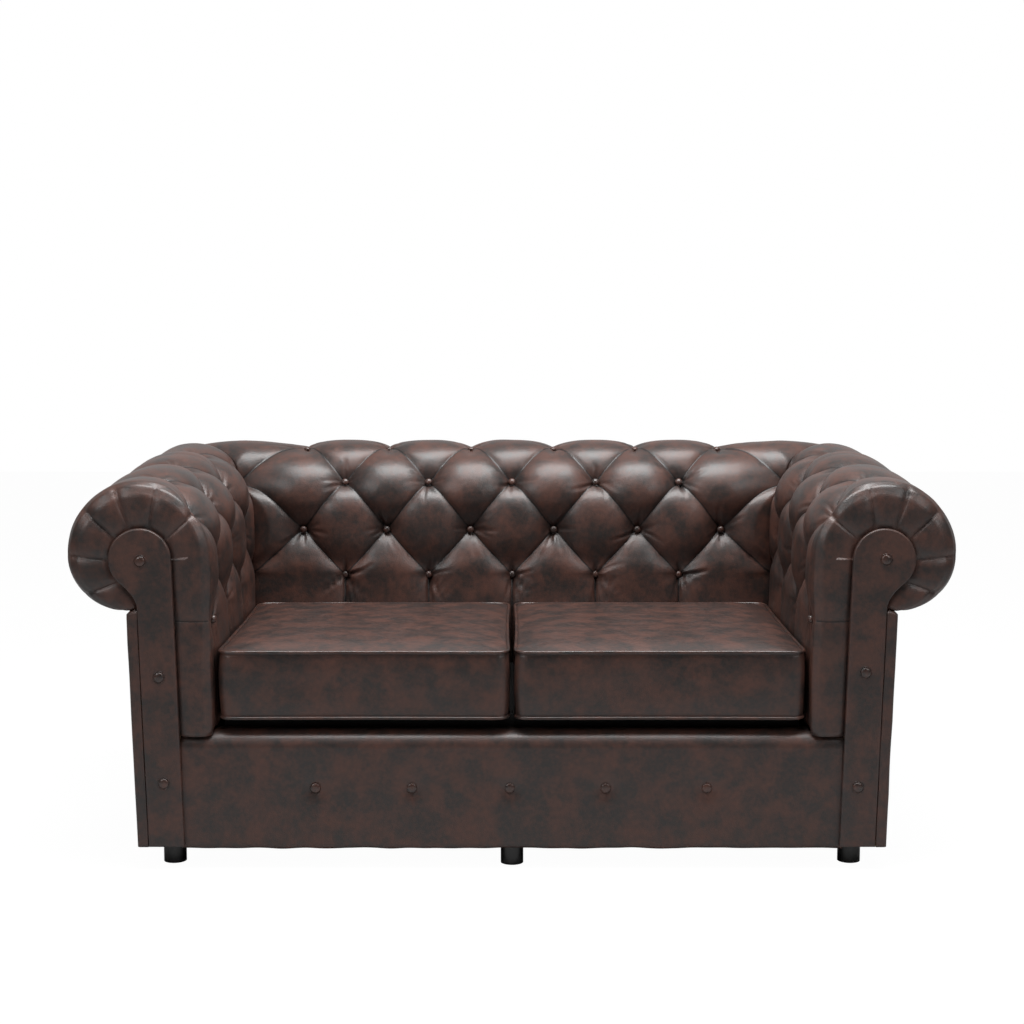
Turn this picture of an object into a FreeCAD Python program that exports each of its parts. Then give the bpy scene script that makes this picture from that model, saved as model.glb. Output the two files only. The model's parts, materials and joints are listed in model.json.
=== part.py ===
# Two-seat chesterfield sofa: a boarded frame with rolled arms and back, deep-buttoned covers, two loose
# box cushions and six round feet. Millimetres. X runs to the right seen from the front, the front faces -Y
# and Z is up. The origin is on the floor, in the middle of the sofa's length and depth.
import FreeCAD, Part
import math
import os
import re

Vector = FreeCAD.Vector

document = FreeCAD.newDocument("chesterfield_sofa")
sheet = document.addObject("Spreadsheet::Sheet", "Sizes")

DRIVING_SIZES = (
    ("seat_width", 1080, "between the inner faces of the arms"),
    ("seat_depth", 590, "front of the arms to the inner face of the back"),
    ("roll_radius", 135, "roll of the arms and the back"),
    ("lip_radius", 104, "lower outer curve of the roll, down to the tack line"),
    ("arm_roll_height", 580, "middle of the arm's roll above the floor, at the front"),
    ("back_rise", 27, "middle of the back's roll above that of the arm's"),
    ("core_rise", 10, "middle of the wooden roll inside, level all round, above that of the arm's"),
    ("cover_depth", 46, "crown of the buttoned cover to the foam under it"),
    ("foam_thickness", 18, "foam between the cover and the bent board"),
    ("board_thickness", 4, "bent fibreboard over the ribs"),
    ("rib_thickness", 18, "scroll-shaped plywood ribs and posts"),
    ("rib_spread", 500, "middle of the back to its outer ribs"),
    ("inner_rib_spread", 170, "middle of the back to its inner ribs"),
    ("rear_post_depth", 540, "front of the arms to their rear posts"),
    ("foot_height", 41, "floor to the underside of the frame"),
    ("foot_radius", 21, "foot at the frame"),
    ("foot_spread", 630, "middle of the sofa to the corner feet"),
    ("front_foot_depth", 70, "front of the arms to the front corner feet"),
    ("middle_foot_depth", 58, "front of the arms to the middle front foot"),
    ("stud_radius", 4, "threaded stud that holds a foot"),
    ("stud_length", 50, "threaded studs"),
    ("stud_depth", 20, "how deep a stud sits in its foot"),
    ("block_height", 60, "blocks over the feet"),
    ("block_width", 60, "blocks over the feet, across the sofa"),
    ("block_length", 50, "blocks over the feet, front to back"),
    ("cloth_thickness", 1, "black cloth under the frame"),
    ("pad_bottom", 258, "lower edge of the buttoned pads"),
    ("button_column", 50, "front of the arm to its first column of buttons"),
    ("arm_pitch", 186, "buttons along an arm"),
    ("back_pitch", 178, "buttons along the back"),
    ("diamond_sink", 36, "buttons below the crown of the diamonds"),
    ("crest_sink", 24, "top row of buttons below the crown"),
    ("pleat_sink", 20, "middle of a diamond's pleat below its crown"),
    ("flank_sink", 6, "diamond half way from its crown to its side buttons"),
    ("corner_sink", 12, "fold in the corner between the arm and the back"),
    ("roll_pleat_sink", 14, "straight pleats over the roll"),
    ("rim_pleat_sink", 9, "pleats round the front of the arm"),
    ("rim_button_sink", 30, "upper button beside the arm's front rim"),
    ("rim_lower_button_sink", 16, "lower button beside the arm's front rim"),
    ("rim_crest_depth", 9, "front of the arms to the foremost point of their rims"),
    ("rim_button_tilt", 0.6, "how far the buttons beside the front rim lean forwards"),
    ("button_radius", 8.5, "buttons in the tufting"),
    ("button_shank", 3, "narrow end of a tufting button"),
    ("button_depth", 8, "shank of a tufting button to its edge"),
    ("button_dome", 4, "dome of a tufting button"),
    ("flat_button_radius", 10.5, "flat buttons on the facings and the front rail"),
    ("flat_button_height", 4, "flat button above its leather"),
    ("crest_row", 195, "top row of buttons, along the pad from the start of the roll"),
    ("upper_row_front", 88, "second row at the front of the arm"),
    ("upper_row_back", 68, "second row at the back"),
    ("middle_row_front", -35, "third row at the front of the arm"),
    ("middle_row_back", -49, "third row at the back"),
    ("lower_row_front", -122, "lowest row at the front of the arm"),
    ("lower_row_back", -145, "lowest row at the back"),
    ("rim_depth", 16, "front of the arms to the front of their posts"),
    ("facing_radius", 57, "round head of the arm's front facing"),
    ("facing_head_out", 133, "inner face of the arm to the middle of the facing's head"),
    ("facing_head_drop", 5, "middle of the facing's head below that of the arm's roll"),
    ("facing_strip_width", 66, "straight strip of the facing"),
    ("facing_neck_drop", 91, "middle of the facing's head down to where it meets the strip"),
    ("facing_thickness", 12, "padded board of the facing"),
    ("facing_bevel", 3, "softened front edge of the facing"),
    ("facing_lean", 15, "how far the facing's foot stands inwards of its head"),
    ("facing_gap", 1.5, "facing to the cover that runs under its edge"),
    ("facing_button_drop", 207, "from one button of the facing down to the next"),
    ("panel_bottom", 43, "lower edge of the facings and outer panels"),
    ("panel_thickness", 6, "leather over hardboard on the outer sides"),
    ("panel_inset", 12, "outer panels inwards of the tack line, at the top"),
    ("panel_lean", 12, "how far the outer panels lean inwards to their foot"),
    ("return_depth", 6, "front of the arms to the strip of the outer panel beside the facing"),
    ("rail_thickness", 20, "sawn rails"),
    ("rail_height", 100, "base rails"),
    ("base_rail_out", 115, "inner face of the arm or the back to its base rail"),
    ("tack_rail_height", 40, "rail that the outer panel is fastened to"),
    ("tack_rail_gap", 4, "tack rail to the inner side of the outer panel"),
    ("top_rail_width", 60, "rail inside the roll"),
    ("top_rail_rise", 38, "middle of the wooden roll to the underside of its rail"),
    ("side_rail_height", 38, "rails that carry the webbing at the arms"),
    ("front_rail_top", 236, "upper edge of the front rail"),
    ("rail_cover_thickness", 8, "padding on the front rail"),
    ("rail_cover_top", 252, "rounded top of the front rail's padding"),
    ("rail_cover_depth", 56, "front rail's padding, front to back over the top"),
    ("rail_cover_gap", 0.5, "front rail's padding to the front posts"),
    ("rail_cover_round", 17, "rounded upper edge of the front rail's padding"),
    ("dimple_depth", 3, "dimples round the buttons of the front rail"),
    ("dimple_radius", 62, "hollow round each button of the front rail"),
    ("rail_button_height", 151, "row of buttons on the front rail"),
    ("rail_button_pitch", 180, "buttons along the front rail"),
    ("webbing_width", 50, "elastic webbing"),
    ("webbing_thickness", 2, "elastic webbing"),
    ("webbing_pitch", 120, "from one crosswise webbing strap to the next"),
    ("deck_clearance", 6, "seat deck to the arms"),
    ("deck_front", 75, "front of the arms to the seat deck"),
    ("cushion_bottom", 277, "seat cushions above the floor"),
    ("cushion_height", 126, "seat cushions from seam to seam"),
    ("cushion_crown", 13, "middle of the cushion above its upper seam"),
    ("cushion_gap", 11, "between the two cushions"),
    ("cushion_clearance", 3.2, "cushion to the arms and the back"),
    ("cushion_front", 18, "front of the arms to the front of the cushions"),
    ("cushion_corner", 24, "rounded corners of the cushions seen from above"),
    ("cushion_draw", 3, "how far a side is drawn in between its corners"),
    ("cushion_leather", 3, "leather and wadding of the cushion covers"),
    ("piping_radius", 2.5, "cord in the cushion seams"),
    ("rest_gap", 0.4, "between a loose cushion and the deck it lies on"),
)
for row, (alias, amount, meaning) in enumerate(DRIVING_SIZES, start=1):
    sheet.set(f"A{row}", meaning)
    sheet.set(f"B{row}", str(amount))
    sheet.setAlias(f"B{row}", alias)
document.recompute()


def size(alias):
    """A driving size, read from the sheet."""
    return float(sheet.get(alias))


def formula(text):
    """An expression over the sheet's aliases, as the document writes it."""
    return re.sub(r"[a-z][a-z_]+", lambda word: "Sizes." + word.group(0), str(text))


FRONT = "(0 - seat_depth / 2 - roll_radius)"
CORE_HEIGHT = "(arm_roll_height + core_rise)"
ARM_INNER = "seat_width / 2"
CORE = "(cover_depth + foam_thickness + board_thickness)"
front = -(size("seat_depth") + 2 * size("roll_radius")) / 2
seat_half = size("seat_width") / 2
seat_back = front + size("seat_depth")
roll = size("roll_radius")
lip = size("lip_radius")
tack_out = 2 * roll - lip
back_middle = size("arm_roll_height") + size("back_rise")
core_middle = size("arm_roll_height") + size("core_rise")
ALL_PIECES = []
core = size("cover_depth") + size("foam_thickness") + size("board_thickness")
UP = Vector(0, 0, 1)
SIDEWAYS = Vector(1, 0, 0)


def keep(piece):
    """Counts an object of the document as a sub-part of the sofa."""
    ALL_PIECES.append(piece)
    return piece


def board(label, low, high):
    """A squared board between two corners, each given as three expressions."""
    piece = document.addObject("Part::Box", label)
    for side, start, end in zip(("Length", "Width", "Height"), low, high):
        piece.setExpression(side, formula(f"({end}) - ({start})"))
    for axis, start in zip("xyz", low):
        piece.setExpression(f"Placement.Base.{axis}", formula(start))
    return piece


def joined(kind, label, base, tool):
    """Two objects put together by a boolean of the document."""
    piece = document.addObject(kind, label)
    piece.Base = base
    piece.Tool = tool
    return piece


def mirrored(label, source):
    """The left-hand twin of a right-hand piece."""
    piece = document.addObject("Part::Mirroring", label)
    piece.Source = source
    piece.Base = Vector(0, 0, 0)
    piece.Normal = SIDEWAYS
    return piece


def keep_pair(name, right_piece):
    """Keeps a right-hand piece, and its mirror image as the left-hand one."""
    keep(right_piece)
    keep(mirrored(name + "_left", right_piece))


def shaped(label, shape):
    """A piece whose form comes from surfaces worked out in this file."""
    piece = document.addObject("Part::Feature", label)
    piece.Shape = shape
    return piece


def padded_outline(label, role, outline, start, length):
    """A flat-sided piece: an outline on a plane of its body, padded from start over length."""
    body = document.addObject("PartDesign::Body", label)
    sketch = body.newObject("Sketcher::SketchObject", label + "_outline")
    plane = next(plane for plane in body.Origin.OriginFeatures if plane.Role == role)
    sketch.AttachmentSupport = [(plane, "")]
    sketch.MapMode = "FlatFace"
    for edge in outline:
        sketch.addGeometry(edge, False)
    document.recompute()
    pad = body.newObject("PartDesign::Pad", label + "_pad")
    pad.Profile = sketch
    pad.setExpression("Length", formula(length))
    pad.Reversed = role == "XZ_Plane"
    axis = {"XZ_Plane": "y", "YZ_Plane": "x", "XY_Plane": "z"}[role]
    body.setExpression(f"Placement.Base.{axis}", formula(start))
    document.recompute()
    return body


def polyline(points):
    """Straight edges through points in a sketch's plane."""
    return [
        Part.LineSegment(Vector(*first, 0), Vector(*second, 0))
        for first, second in zip(points, points[1:])
    ]


def arc_between(start, middle, end):
    """One arc through three points in a sketch's plane."""
    return Part.Arc(Vector(*start, 0), Vector(*middle, 0), Vector(*end, 0))


def roll_arcs(offset, base):
    """The roll's two arcs, offset inwards from the crown: over the top, then under the lip."""
    middle = core_middle
    small = roll - offset
    under = lip - offset
    half_turn = math.sqrt(0.5)

    def place(out, height):
        return (base + out, height)

    over_top = arc_between(
        place(offset, middle), place(roll, middle + small), place(2 * roll - offset, middle)
    )
    under_lip = arc_between(
        place(2 * roll - offset, middle),
        place(tack_out + under * half_turn, middle - under * half_turn),
        place(tack_out, middle - under),
    )
    return [over_top, under_lip]


def roll_band(outer_offset, inner_offset, base):
    """A J-shaped layer of the roll between two offsets, open at the bottom and at the tack line."""
    middle = core_middle
    bottom = size("pad_bottom")

    def place(out, height):
        return (base + out, height)

    outer_end = place(tack_out, middle - lip + outer_offset)
    inner_end = place(tack_out, middle - lip + inner_offset)
    return (
        polyline([place(outer_offset, bottom), place(outer_offset, middle)])
        + roll_arcs(outer_offset, base)
        + polyline([outer_end, inner_end])
        + roll_arcs(inner_offset, base)
        + polyline(
            [place(inner_offset, middle), place(inner_offset, bottom), place(outer_offset, bottom)]
        )
    )


def rib_outline(base):
    """A scroll-shaped rib that carries the bent board, down to the underside of the frame."""
    offset = core
    middle = core_middle
    bottom = size("foot_height")
    panel_top = back_middle - lip
    lean_start = size("arm_roll_height") - lip

    def place(out, height):
        return (base + out, height)

    lip_end = place(tack_out, middle - lip + offset)
    panel_out = tack_out - size("panel_inset")
    foot_out = panel_out - size("panel_lean") - size("facing_gap")
    return (
        polyline([place(offset, bottom), place(offset, middle)])
        + roll_arcs(offset, base)
        + polyline([lip_end, place(panel_out, panel_top), place(panel_out, lean_start)])
        + polyline([place(panel_out, lean_start), place(foot_out, bottom), place(offset, bottom)])
    )


# The seams at the rear corners lie in upright planes at 45 degrees, through the corners of the seat.
MITRE_REACH = 2 * roll + 100


def mitre_side(label, corners):
    """A tall block with the corners given in plan, which trims a layer to its side of the mitres."""
    wire = Part.makePolygon([Vector(x, y, 0) for x, y in corners + corners[:1]])
    height = back_middle + MITRE_REACH
    return shaped(label, Part.Face(wire).extrude(Vector(0, 0, height)))


inner_corner = (seat_half - MITRE_REACH, seat_back - MITRE_REACH)
outer_corner = (seat_half + MITRE_REACH, seat_back + MITRE_REACH)
arm_block = mitre_side(
    "arm_mitre_block",
    [inner_corner, (inner_corner[0], 2 * front), (outer_corner[0], 2 * front), outer_corner],
)
back_block = mitre_side(
    "back_mitre_block",
    [
        inner_corner,
        outer_corner,
        (-outer_corner[0], outer_corner[1]),
        (-inner_corner[0], inner_corner[1]),
    ],
)


def section_point(reach, middle, sink):
    """How far out and how high a point of the pad lies: reach runs along the crown line from the start
    of the roll, upwards and over it, and sink goes from the crown into the padding."""
    if reach <= 0:
        return sink, middle + reach
    if reach <= math.pi * roll:
        turn = reach / roll
        return roll - (roll - sink) * math.cos(turn), middle + (roll - sink) * math.sin(turn)
    turn = (reach - math.pi * roll) / lip
    return tack_out + (lip - sink) * math.cos(turn), middle - (lip - sink) * math.sin(turn)


ROLL_END = math.pi * roll
TACK_REACH = ROLL_END + math.pi / 2 * lip


def arm_middle(depth):
    """The height of the arm's roll, which climbs from the front to the back's inner face."""
    climb = size("back_rise")
    return size("arm_roll_height") + climb * min(depth, size("seat_depth")) / size("seat_depth")


def arm_point(reach, depth, sink):
    """A point on the right arm's cover, depth behind the front of the arm."""
    out, height = section_point(reach, arm_middle(depth), sink)
    return Vector(seat_half + out, front + depth, height)


def back_point(reach, across, sink):
    """A point on the back's cover, across to the right of the sofa's middle."""
    out, height = section_point(reach, back_middle, sink)
    return Vector(across, seat_back + out, height)


MITRE = None


class Cover:
    """A buttoned cover: small faces ruled between lines that climb the pad and go over its roll."""

    def __init__(self, place, corner):
        self.place = place
        self.corner = corner
        self.faces = []

    def along(self, point):
        """How far along the pad a point lies, also on the mitre, where that follows its depth."""
        reach, along, sink = point
        if along is not MITRE:
            return along
        out, _ = section_point(reach, back_middle, sink)
        return self.corner + out

    def between(self, first, second, share, sink):
        """A point on the way from one to another, sunk by its own amount."""
        on_mitre = first[1] is MITRE and second[1] is MITRE
        start, end = self.along(first), self.along(second)
        along = MITRE if on_mitre else start + (end - start) * share
        return (first[0] + (second[0] - first[0]) * share, along, sink)

    def middle(self, first, second, sink):
        return self.between(first, second, 0.5, sink)

    def spot(self, point):
        return self.place(point[0], self.along(point), point[2])

    def climb(self, line):
        """The spots along a line, in one list for each of its spans, with parabolas for their sinks."""
        spans = []
        for start, end, sink, count in zip(line.points, line.points[1:], line.sinks, line.counts):
            bend = 2 * sink - (start[2] + end[2]) / 2
            spots = []
            for number in range(count + 1):
                share = number / count
                deep = (1 - share) ** 2 * start[2] + share**2 * end[2] + 2 * share * (1 - share) * bend
                spots.append(self.spot(self.between(start, end, share, deep)))
            spans.append(spots)
        return spans

    def ruled(self, first, second):
        """Flat three-cornered faces between two spans with as many spots."""
        for here, there in zip(zip(first, first[1:]), zip(second, second[1:])):
            if here[0].distanceToPoint(there[1]) < here[1].distanceToPoint(there[0]):
                self.faces += [(here[0], here[1], there[1]), (here[0], there[1], there[0])]
            else:
                self.faces += [(here[0], here[1], there[0]), (here[1], there[1], there[0])]

    def fan(self, apex, span):
        self.faces += [(apex, start, end) for start, end in zip(span, span[1:])]

    def pleated_line(self, even, odd):
        """The line half way between two neighbouring lines of buttons, which carries the pleats."""
        pleat = size("pleat_sink")
        flank = size("flank_sink")
        even_low, even_lower, even_crown, even_upper, *even_steps = even.points
        odd_low, odd_middle, odd_crown, odd_crest, *odd_steps = odd.points
        points = [
            self.middle(even_low, odd_low, 0),
            self.middle(even_lower, odd_middle, pleat),
            self.middle(even_crown, odd_middle, flank),
            self.middle(even_upper, odd_middle, pleat),
            self.middle(even_upper, odd_crown, flank),
            self.middle(even_upper, odd_crest, pleat),
        ]
        points += [
            self.middle(here, there, half_way_sink(here[2], there[2]))
            for here, there in zip(even_steps, odd_steps)
        ]
        low_sink = half_way_sink(even.sinks[0], odd.sinks[0])
        flanks = [flank + (pleat - flank) / 4] * 4
        over = [half_way_sink(here, there) for here, there in zip(even.sinks[3:], odd.sinks[3:])]
        counts = even.counts[:3] + odd.counts[1:3] + even.counts[3:]
        return Line(points, [low_sink] + flanks + over, counts)

    def interval(self, even, odd):
        """The quilting between two neighbouring lines of buttons. An even line has its buttons in the
        second and the lowest row, an odd one in the top and the third row."""
        pleats = self.climb(self.pleated_line(even, odd))
        even_spans = self.climb(even)
        odd_spans = self.climb(odd)
        for span, pleat in zip(even_spans[:3], pleats[:3]):
            self.ruled(span, pleat)
        upper_button = even_spans[2][-1]
        self.fan(upper_button, pleats[3])
        self.fan(upper_button, pleats[4])
        for span, pleat in zip(even_spans[3:], pleats[5:]):
            self.ruled(span, pleat)
        self.ruled(odd_spans[0], pleats[0])
        middle_button = odd_spans[0][-1]
        self.fan(middle_button, pleats[1])
        self.fan(middle_button, pleats[2])
        for span, pleat in zip(odd_spans[1:], pleats[3:]):
            self.ruled(span, pleat)


class Line:
    """A line up a pad: its points, each (reach, along, sink), the sinks half way between them, and into
    how many faces each span is divided."""

    def __init__(self, points, sinks, counts):
        self.points = points
        self.sinks = sinks
        self.counts = counts


def half_way_sink(here, there):
    """The sink half way between two lines, on the round bulge between a crown and a pleat."""
    return min(here, there) + abs(here - there) / 4


def small_face(corners):
    """A flat face between three spots."""
    return Part.Face(Part.makePolygon(list(corners) + [corners[0]]))


def open_edges(faces):
    """The sides that bound only one face."""
    found = {}
    for corners in faces:
        for start, end in zip(corners, corners[1:] + corners[:1]):
            middle = (start + end) / 2
            key = tuple(round(number, 2) for number in middle)
            found.setdefault(key, []).append((start, end))
    return [sides[0] for sides in found.values() if len(sides) == 1]


def closing_face(edges, normal, level, corners):
    """A flat face bounded by the open edges that lie in a plane and by straight lines."""
    in_plane = [
        side for side in edges if all(abs(normal.dot(point) - level) < 0.01 for point in side)
    ]
    outline = [Part.makeLine(*side) for side in in_plane]
    outline += [Part.makeLine(first, second) for first, second in zip(corners, corners[1:])]
    return Part.Face(Part.Wire(Part.__sortEdges__(outline)))


def closed_solid(faces):
    """The solid inside a closed set of faces."""
    solid = Part.Solid(Part.makeShell(faces))
    if solid.Volume < 0:
        solid.reverse()
    return solid


def core_prism(pad, start, end):
    """The space inside a cover, from start to end along the arm or the back."""
    offset = size("cover_depth")
    base = seat_half if pad == "arm" else seat_back
    outline = polyline([(base + offset, size("pad_bottom")), (base + offset, core_middle)])
    outline += roll_arcs(offset, base)
    under = core_middle - lip + offset
    outline += polyline(
        [
            (base + tack_out, under),
            (base + tack_out, size("pad_bottom")),
            (base + offset, size("pad_bottom")),
        ]
    )
    wire = Part.Wire(Part.__sortEdges__([edge.toShape() for edge in outline]))
    if pad == "arm":
        wire.rotate(Vector(0, 0, 0), SIDEWAYS, 90)
        wire.translate(Vector(0, start, 0))
        return Part.Face(wire).extrude(Vector(0, end - start, 0))
    wire.rotate(Vector(0, 0, 0), Vector(1, 1, 1), 120)
    wire.translate(Vector(start, 0, 0))
    return Part.Face(wire).extrude(Vector(end - start, 0, 0))


# The steps of the pads over the roll: turns of the roll in degrees, then turns of the lip under it.
BACK_TURNS = (112, 146, 180)
ARM_TURNS = (76, 109, 140, 180)
BACK_LIP_TURNS = (90,)
ARM_LIP_TURNS = (50, 90)
EVEN_COUNTS = [2, 2, 3, 4]
ODD_COUNTS = [2, 3, 3, 4]
STEP_COUNT = 2
NECK_TURN = ARM_LIP_TURNS[0]


def roll_steps(turns, lip_turns):
    """Reaches along the pad at turns of the roll, then at those of the lip."""
    over = [math.radians(turn) * roll for turn in turns]
    return over + [ROLL_END + math.radians(turn) * lip for turn in lip_turns]


def row_reach(name, share):
    """A row of buttons, share of the way from the front of the arm to the back."""
    start = size(name + "_row_front")
    return start + (size(name + "_row_back") - start) * share


def even_line(along, share, bottom, steps, over_sink=0, sinks=None, bulging=False):
    """A line with buttons in the second and the lowest row. Over the roll it is a crown, or a pleat of
    its own that is over_sink deep and fades out at the tack line, with bulges between its steps."""
    deep = size("diamond_sink")
    upper, lower = sinks or (deep, deep)
    corner = along is MITRE
    fold = size("corner_sink") if corner else 0
    upper_reach = row_reach("upper", share)
    lower_reach = row_reach("lower", share)
    middle_reach = (upper_reach + lower_reach) / 2 if corner else row_reach("middle", share)
    fading = [over_sink * (1 - (number / len(steps)) ** 2) for number in range(1, len(steps) + 1)]
    points = [
        (bottom, along, 0),
        (lower_reach, along, lower),
        (middle_reach, along, fold),
        (upper_reach, along, upper),
    ] + [(reach, along, sink) for reach, sink in zip(steps, fading)]
    low_sink = size("roll_pleat_sink")
    bulge = 0 if bulging else over_sink
    between = [low_sink, fold + (lower - fold) / 4, fold + (upper - fold) / 4, upper / 4]
    between += [bulge * (1 - ((number + 0.5) / len(steps)) ** 2) for number in range(1, len(steps))]
    return Line(points, between, EVEN_COUNTS + [STEP_COUNT] * (len(steps) - 1))


def odd_line(along, share, bottom, steps):
    """A line with buttons in the top and the third row, and a straight pleat over the roll."""
    deep = size("diamond_sink")
    crest_sink = size("crest_sink")
    pleat = size("roll_pleat_sink")
    crest = size("crest_row")
    first, *others = steps
    later = [max(first, crest + (others[0] - crest) / 3)] + others
    fading = [pleat * (1 - (number / len(later)) ** 2) for number in range(1, len(later) + 1)]
    points = [
        (bottom, along, 0),
        (row_reach("middle", share), along, deep),
        (row_reach("upper", share), along, 0),
        (crest, along, crest_sink),
    ] + [(reach, along, sink) for reach, sink in zip(later, fading)]
    between = [0, deep / 4, crest_sink / 4, (crest_sink + pleat) / 2]
    between += [pleat * (1 - ((number + 0.5) / len(later)) ** 2) for number in range(1, len(later))]
    return Line(points, between, ODD_COUNTS + [STEP_COUNT] * (len(steps) - 1))


def quilt_back_half(cover):
    """The right half of the back's quilting, from the middle to the mitre."""
    pitch = size("back_pitch")
    bottom = size("pad_bottom") - back_middle
    steps = roll_steps(BACK_TURNS, BACK_LIP_TURNS)
    evens = [even_line(pitch * number, 1, bottom, steps) for number in range(3)]
    evens.append(even_line(MITRE, 1, bottom, steps, size("roll_pleat_sink")))
    odds = [odd_line(pitch * (number + 0.5), 1, bottom, steps) for number in range(3)]
    for number, odd in enumerate(odds):
        cover.interval(evens[number], odd)
        cover.interval(evens[number + 1], odd)


def back_cover_solid():
    """The back's cover and its wadding, quilted on the outside and hollow where the foam lies."""
    cover = Cover(back_point, seat_half)
    quilt_back_half(cover)
    mirror = [tuple(Vector(-spot.x, spot.y, spot.z) for spot in face) for face in cover.faces]
    quilting = cover.faces + mirror
    tack_height = back_middle - lip
    bottom = size("pad_bottom")
    far = seat_half + tack_out
    rear = seat_back + tack_out
    edges = open_edges(quilting)
    faces = [small_face(corners) for corners in quilting]
    low_corners = [(far, rear), (-far, rear)]
    faces.append(
        closing_face(
            edges,
            Vector(0, 1, 0),
            rear,
            [Vector(far, rear, tack_height)]
            + [Vector(x, y, bottom) for x, y in low_corners]
            + [Vector(-far, rear, tack_height)],
        )
    )
    faces.append(
        closing_face(
            edges,
            UP,
            bottom,
            [Vector(seat_half, seat_back, bottom)]
            + [Vector(x, y, bottom) for x, y in low_corners]
            + [Vector(-seat_half, seat_back, bottom)],
        )
    )
    for side in (1, -1):
        faces.append(
            closing_face(
                edges,
                Vector(side, -1, 0),
                seat_half - seat_back,
                [
                    Vector(side * far, rear, tack_height),
                    Vector(side * far, rear, bottom),
                    Vector(side * seat_half, seat_back, bottom),
                ],
            )
        )
    reach = seat_half + MITRE_REACH
    return closed_solid(faces).cut(core_prism("back", -reach, reach))


head_x = seat_half + size("facing_head_out")
head_z = size("arm_roll_height") - size("facing_head_drop")
neck_z = head_z - size("facing_neck_drop")


def facing_inner_x(height):
    """The facing's inner edge, which leans inwards to its foot."""
    drop = (head_z - height) / (head_z - size("panel_bottom"))
    return head_x - size("facing_radius") - size("facing_lean") * drop


def facing_outer_x(height):
    return facing_inner_x(height) + size("facing_strip_width")


def head_point(turn, gap):
    """A point on the facing's round head, turned in degrees from its inner side over the top."""
    radius = size("facing_radius") + gap
    turn = math.radians(turn)
    return head_x - radius * math.cos(turn), head_z + radius * math.sin(turn)


def neck_curve(gap):
    """The hollow curve from the head's outer side down to the strip, smooth with both."""
    start_x, start_z = head_point(180 + NECK_TURN, gap)
    end_z = neck_z
    end_x = facing_outer_x(end_z) + gap
    slope = math.tan(math.radians(90 - NECK_TURN))
    pole_z = start_z - (start_x - end_x) * slope
    curve = Part.BezierCurve()
    curve.setPoles([Vector(start_x, start_z, 0), Vector(end_x, pole_z, 0), Vector(end_x, end_z, 0)])
    return curve


def neck_point(share, gap):
    """A point on that curve, as X and height."""
    point = neck_curve(gap).value(share)
    return point.x, point.y


def facing_edge(reach):
    """Where the leather of the arm's front rim runs under the facing, as X and height."""
    gap = size("facing_gap")
    if reach <= 0:
        height = arm_middle(size("button_column")) + reach
        return facing_inner_x(height) - gap, height
    if reach <= ROLL_END:
        return head_point(math.degrees(reach / roll), gap)
    turn = math.degrees((reach - ROLL_END) / lip)
    if turn <= NECK_TURN:
        return head_point(180 + turn, gap)
    return neck_point((turn - NECK_TURN) / (ARM_LIP_TURNS[1] - NECK_TURN), gap)


# The front rim in section: shares of the way to the facing's edge, and depths behind the arm's front.
# It is round all the way, but it ends square where it meets the tack line.
ROUND_RIM = ((0.05, 29), (0.25, 12.5), (0.55, size("rim_crest_depth")))
SQUARE_RIM = ((0, 33), (0, size("rim_depth")), (0.5, size("rim_depth")))
RIM_SINK_SHARES = (0.9, 0.9, 0.7)


def rim_section(reach, level):
    """The share of the way to the facing and the depth of a level of the rim."""
    neck_reach = ROLL_END + math.radians(NECK_TURN) * lip
    square = max(0, reach - neck_reach) / (TACK_REACH - neck_reach)
    return [
        round_one + (square_one - round_one) * square
        for round_one, square_one in zip(ROUND_RIM[level], SQUARE_RIM[level])
    ]


def rim_point(reach, level, sink):
    """A point of the arm's front rim: levels 0 to 2 go round it, and level 3 is the facing's edge."""
    crown = arm_point(reach, size("button_column"), 0)
    edge_x, edge_z = facing_edge(reach)
    edge = Vector(edge_x, front + size("rim_depth"), edge_z)
    if level == 3:
        return edge
    inwards = Vector(edge.x - crown.x, 0, edge.z - crown.z)
    deeper = sink * RIM_SINK_SHARES[level]
    share, depth = rim_section(reach, level)
    spot = crown + inwards * share
    if level == 0:
        spot += inwards.normalize() * deeper
    spot.y = front + depth + (deeper if level else 0)
    return spot


def rim_rows(reach, spot, sink):
    """The spots round the front rim, from one on the first line of the cover to the facing's edge."""
    crease = min(sink, size("rim_pleat_sink"))
    return [spot] + [rim_point(reach, level, crease) for level in range(4)]


def add_rim(cover, line):
    """The faces of the front rim along the first line of the arm's cover."""
    for start, end, sink, count, spots in zip(
        line.points, line.points[1:], line.sinks, line.counts, cover.climb(line)
    ):
        bend = 2 * sink - (start[2] + end[2]) / 2
        rows = []
        for number, spot in enumerate(spots):
            share = number / count
            deep = (1 - share) ** 2 * start[2] + share**2 * end[2] + 2 * share * (1 - share) * bend
            rows.append(rim_rows(start[0] + (end[0] - start[0]) * share, spot, deep))
        for here, there in zip(rows, rows[1:]):
            cover.ruled(here, there)


def arm_bottom(depth):
    """The reach of the pad's lower edge."""
    middle = back_middle if depth is MITRE else arm_middle(depth)
    return size("pad_bottom") - middle


def arm_share(depth):
    """How far a column stands from the first one towards the back, as a share."""
    column = size("button_column")
    return 1 if depth is MITRE else (depth - column) / (size("seat_depth") - column)


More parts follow.
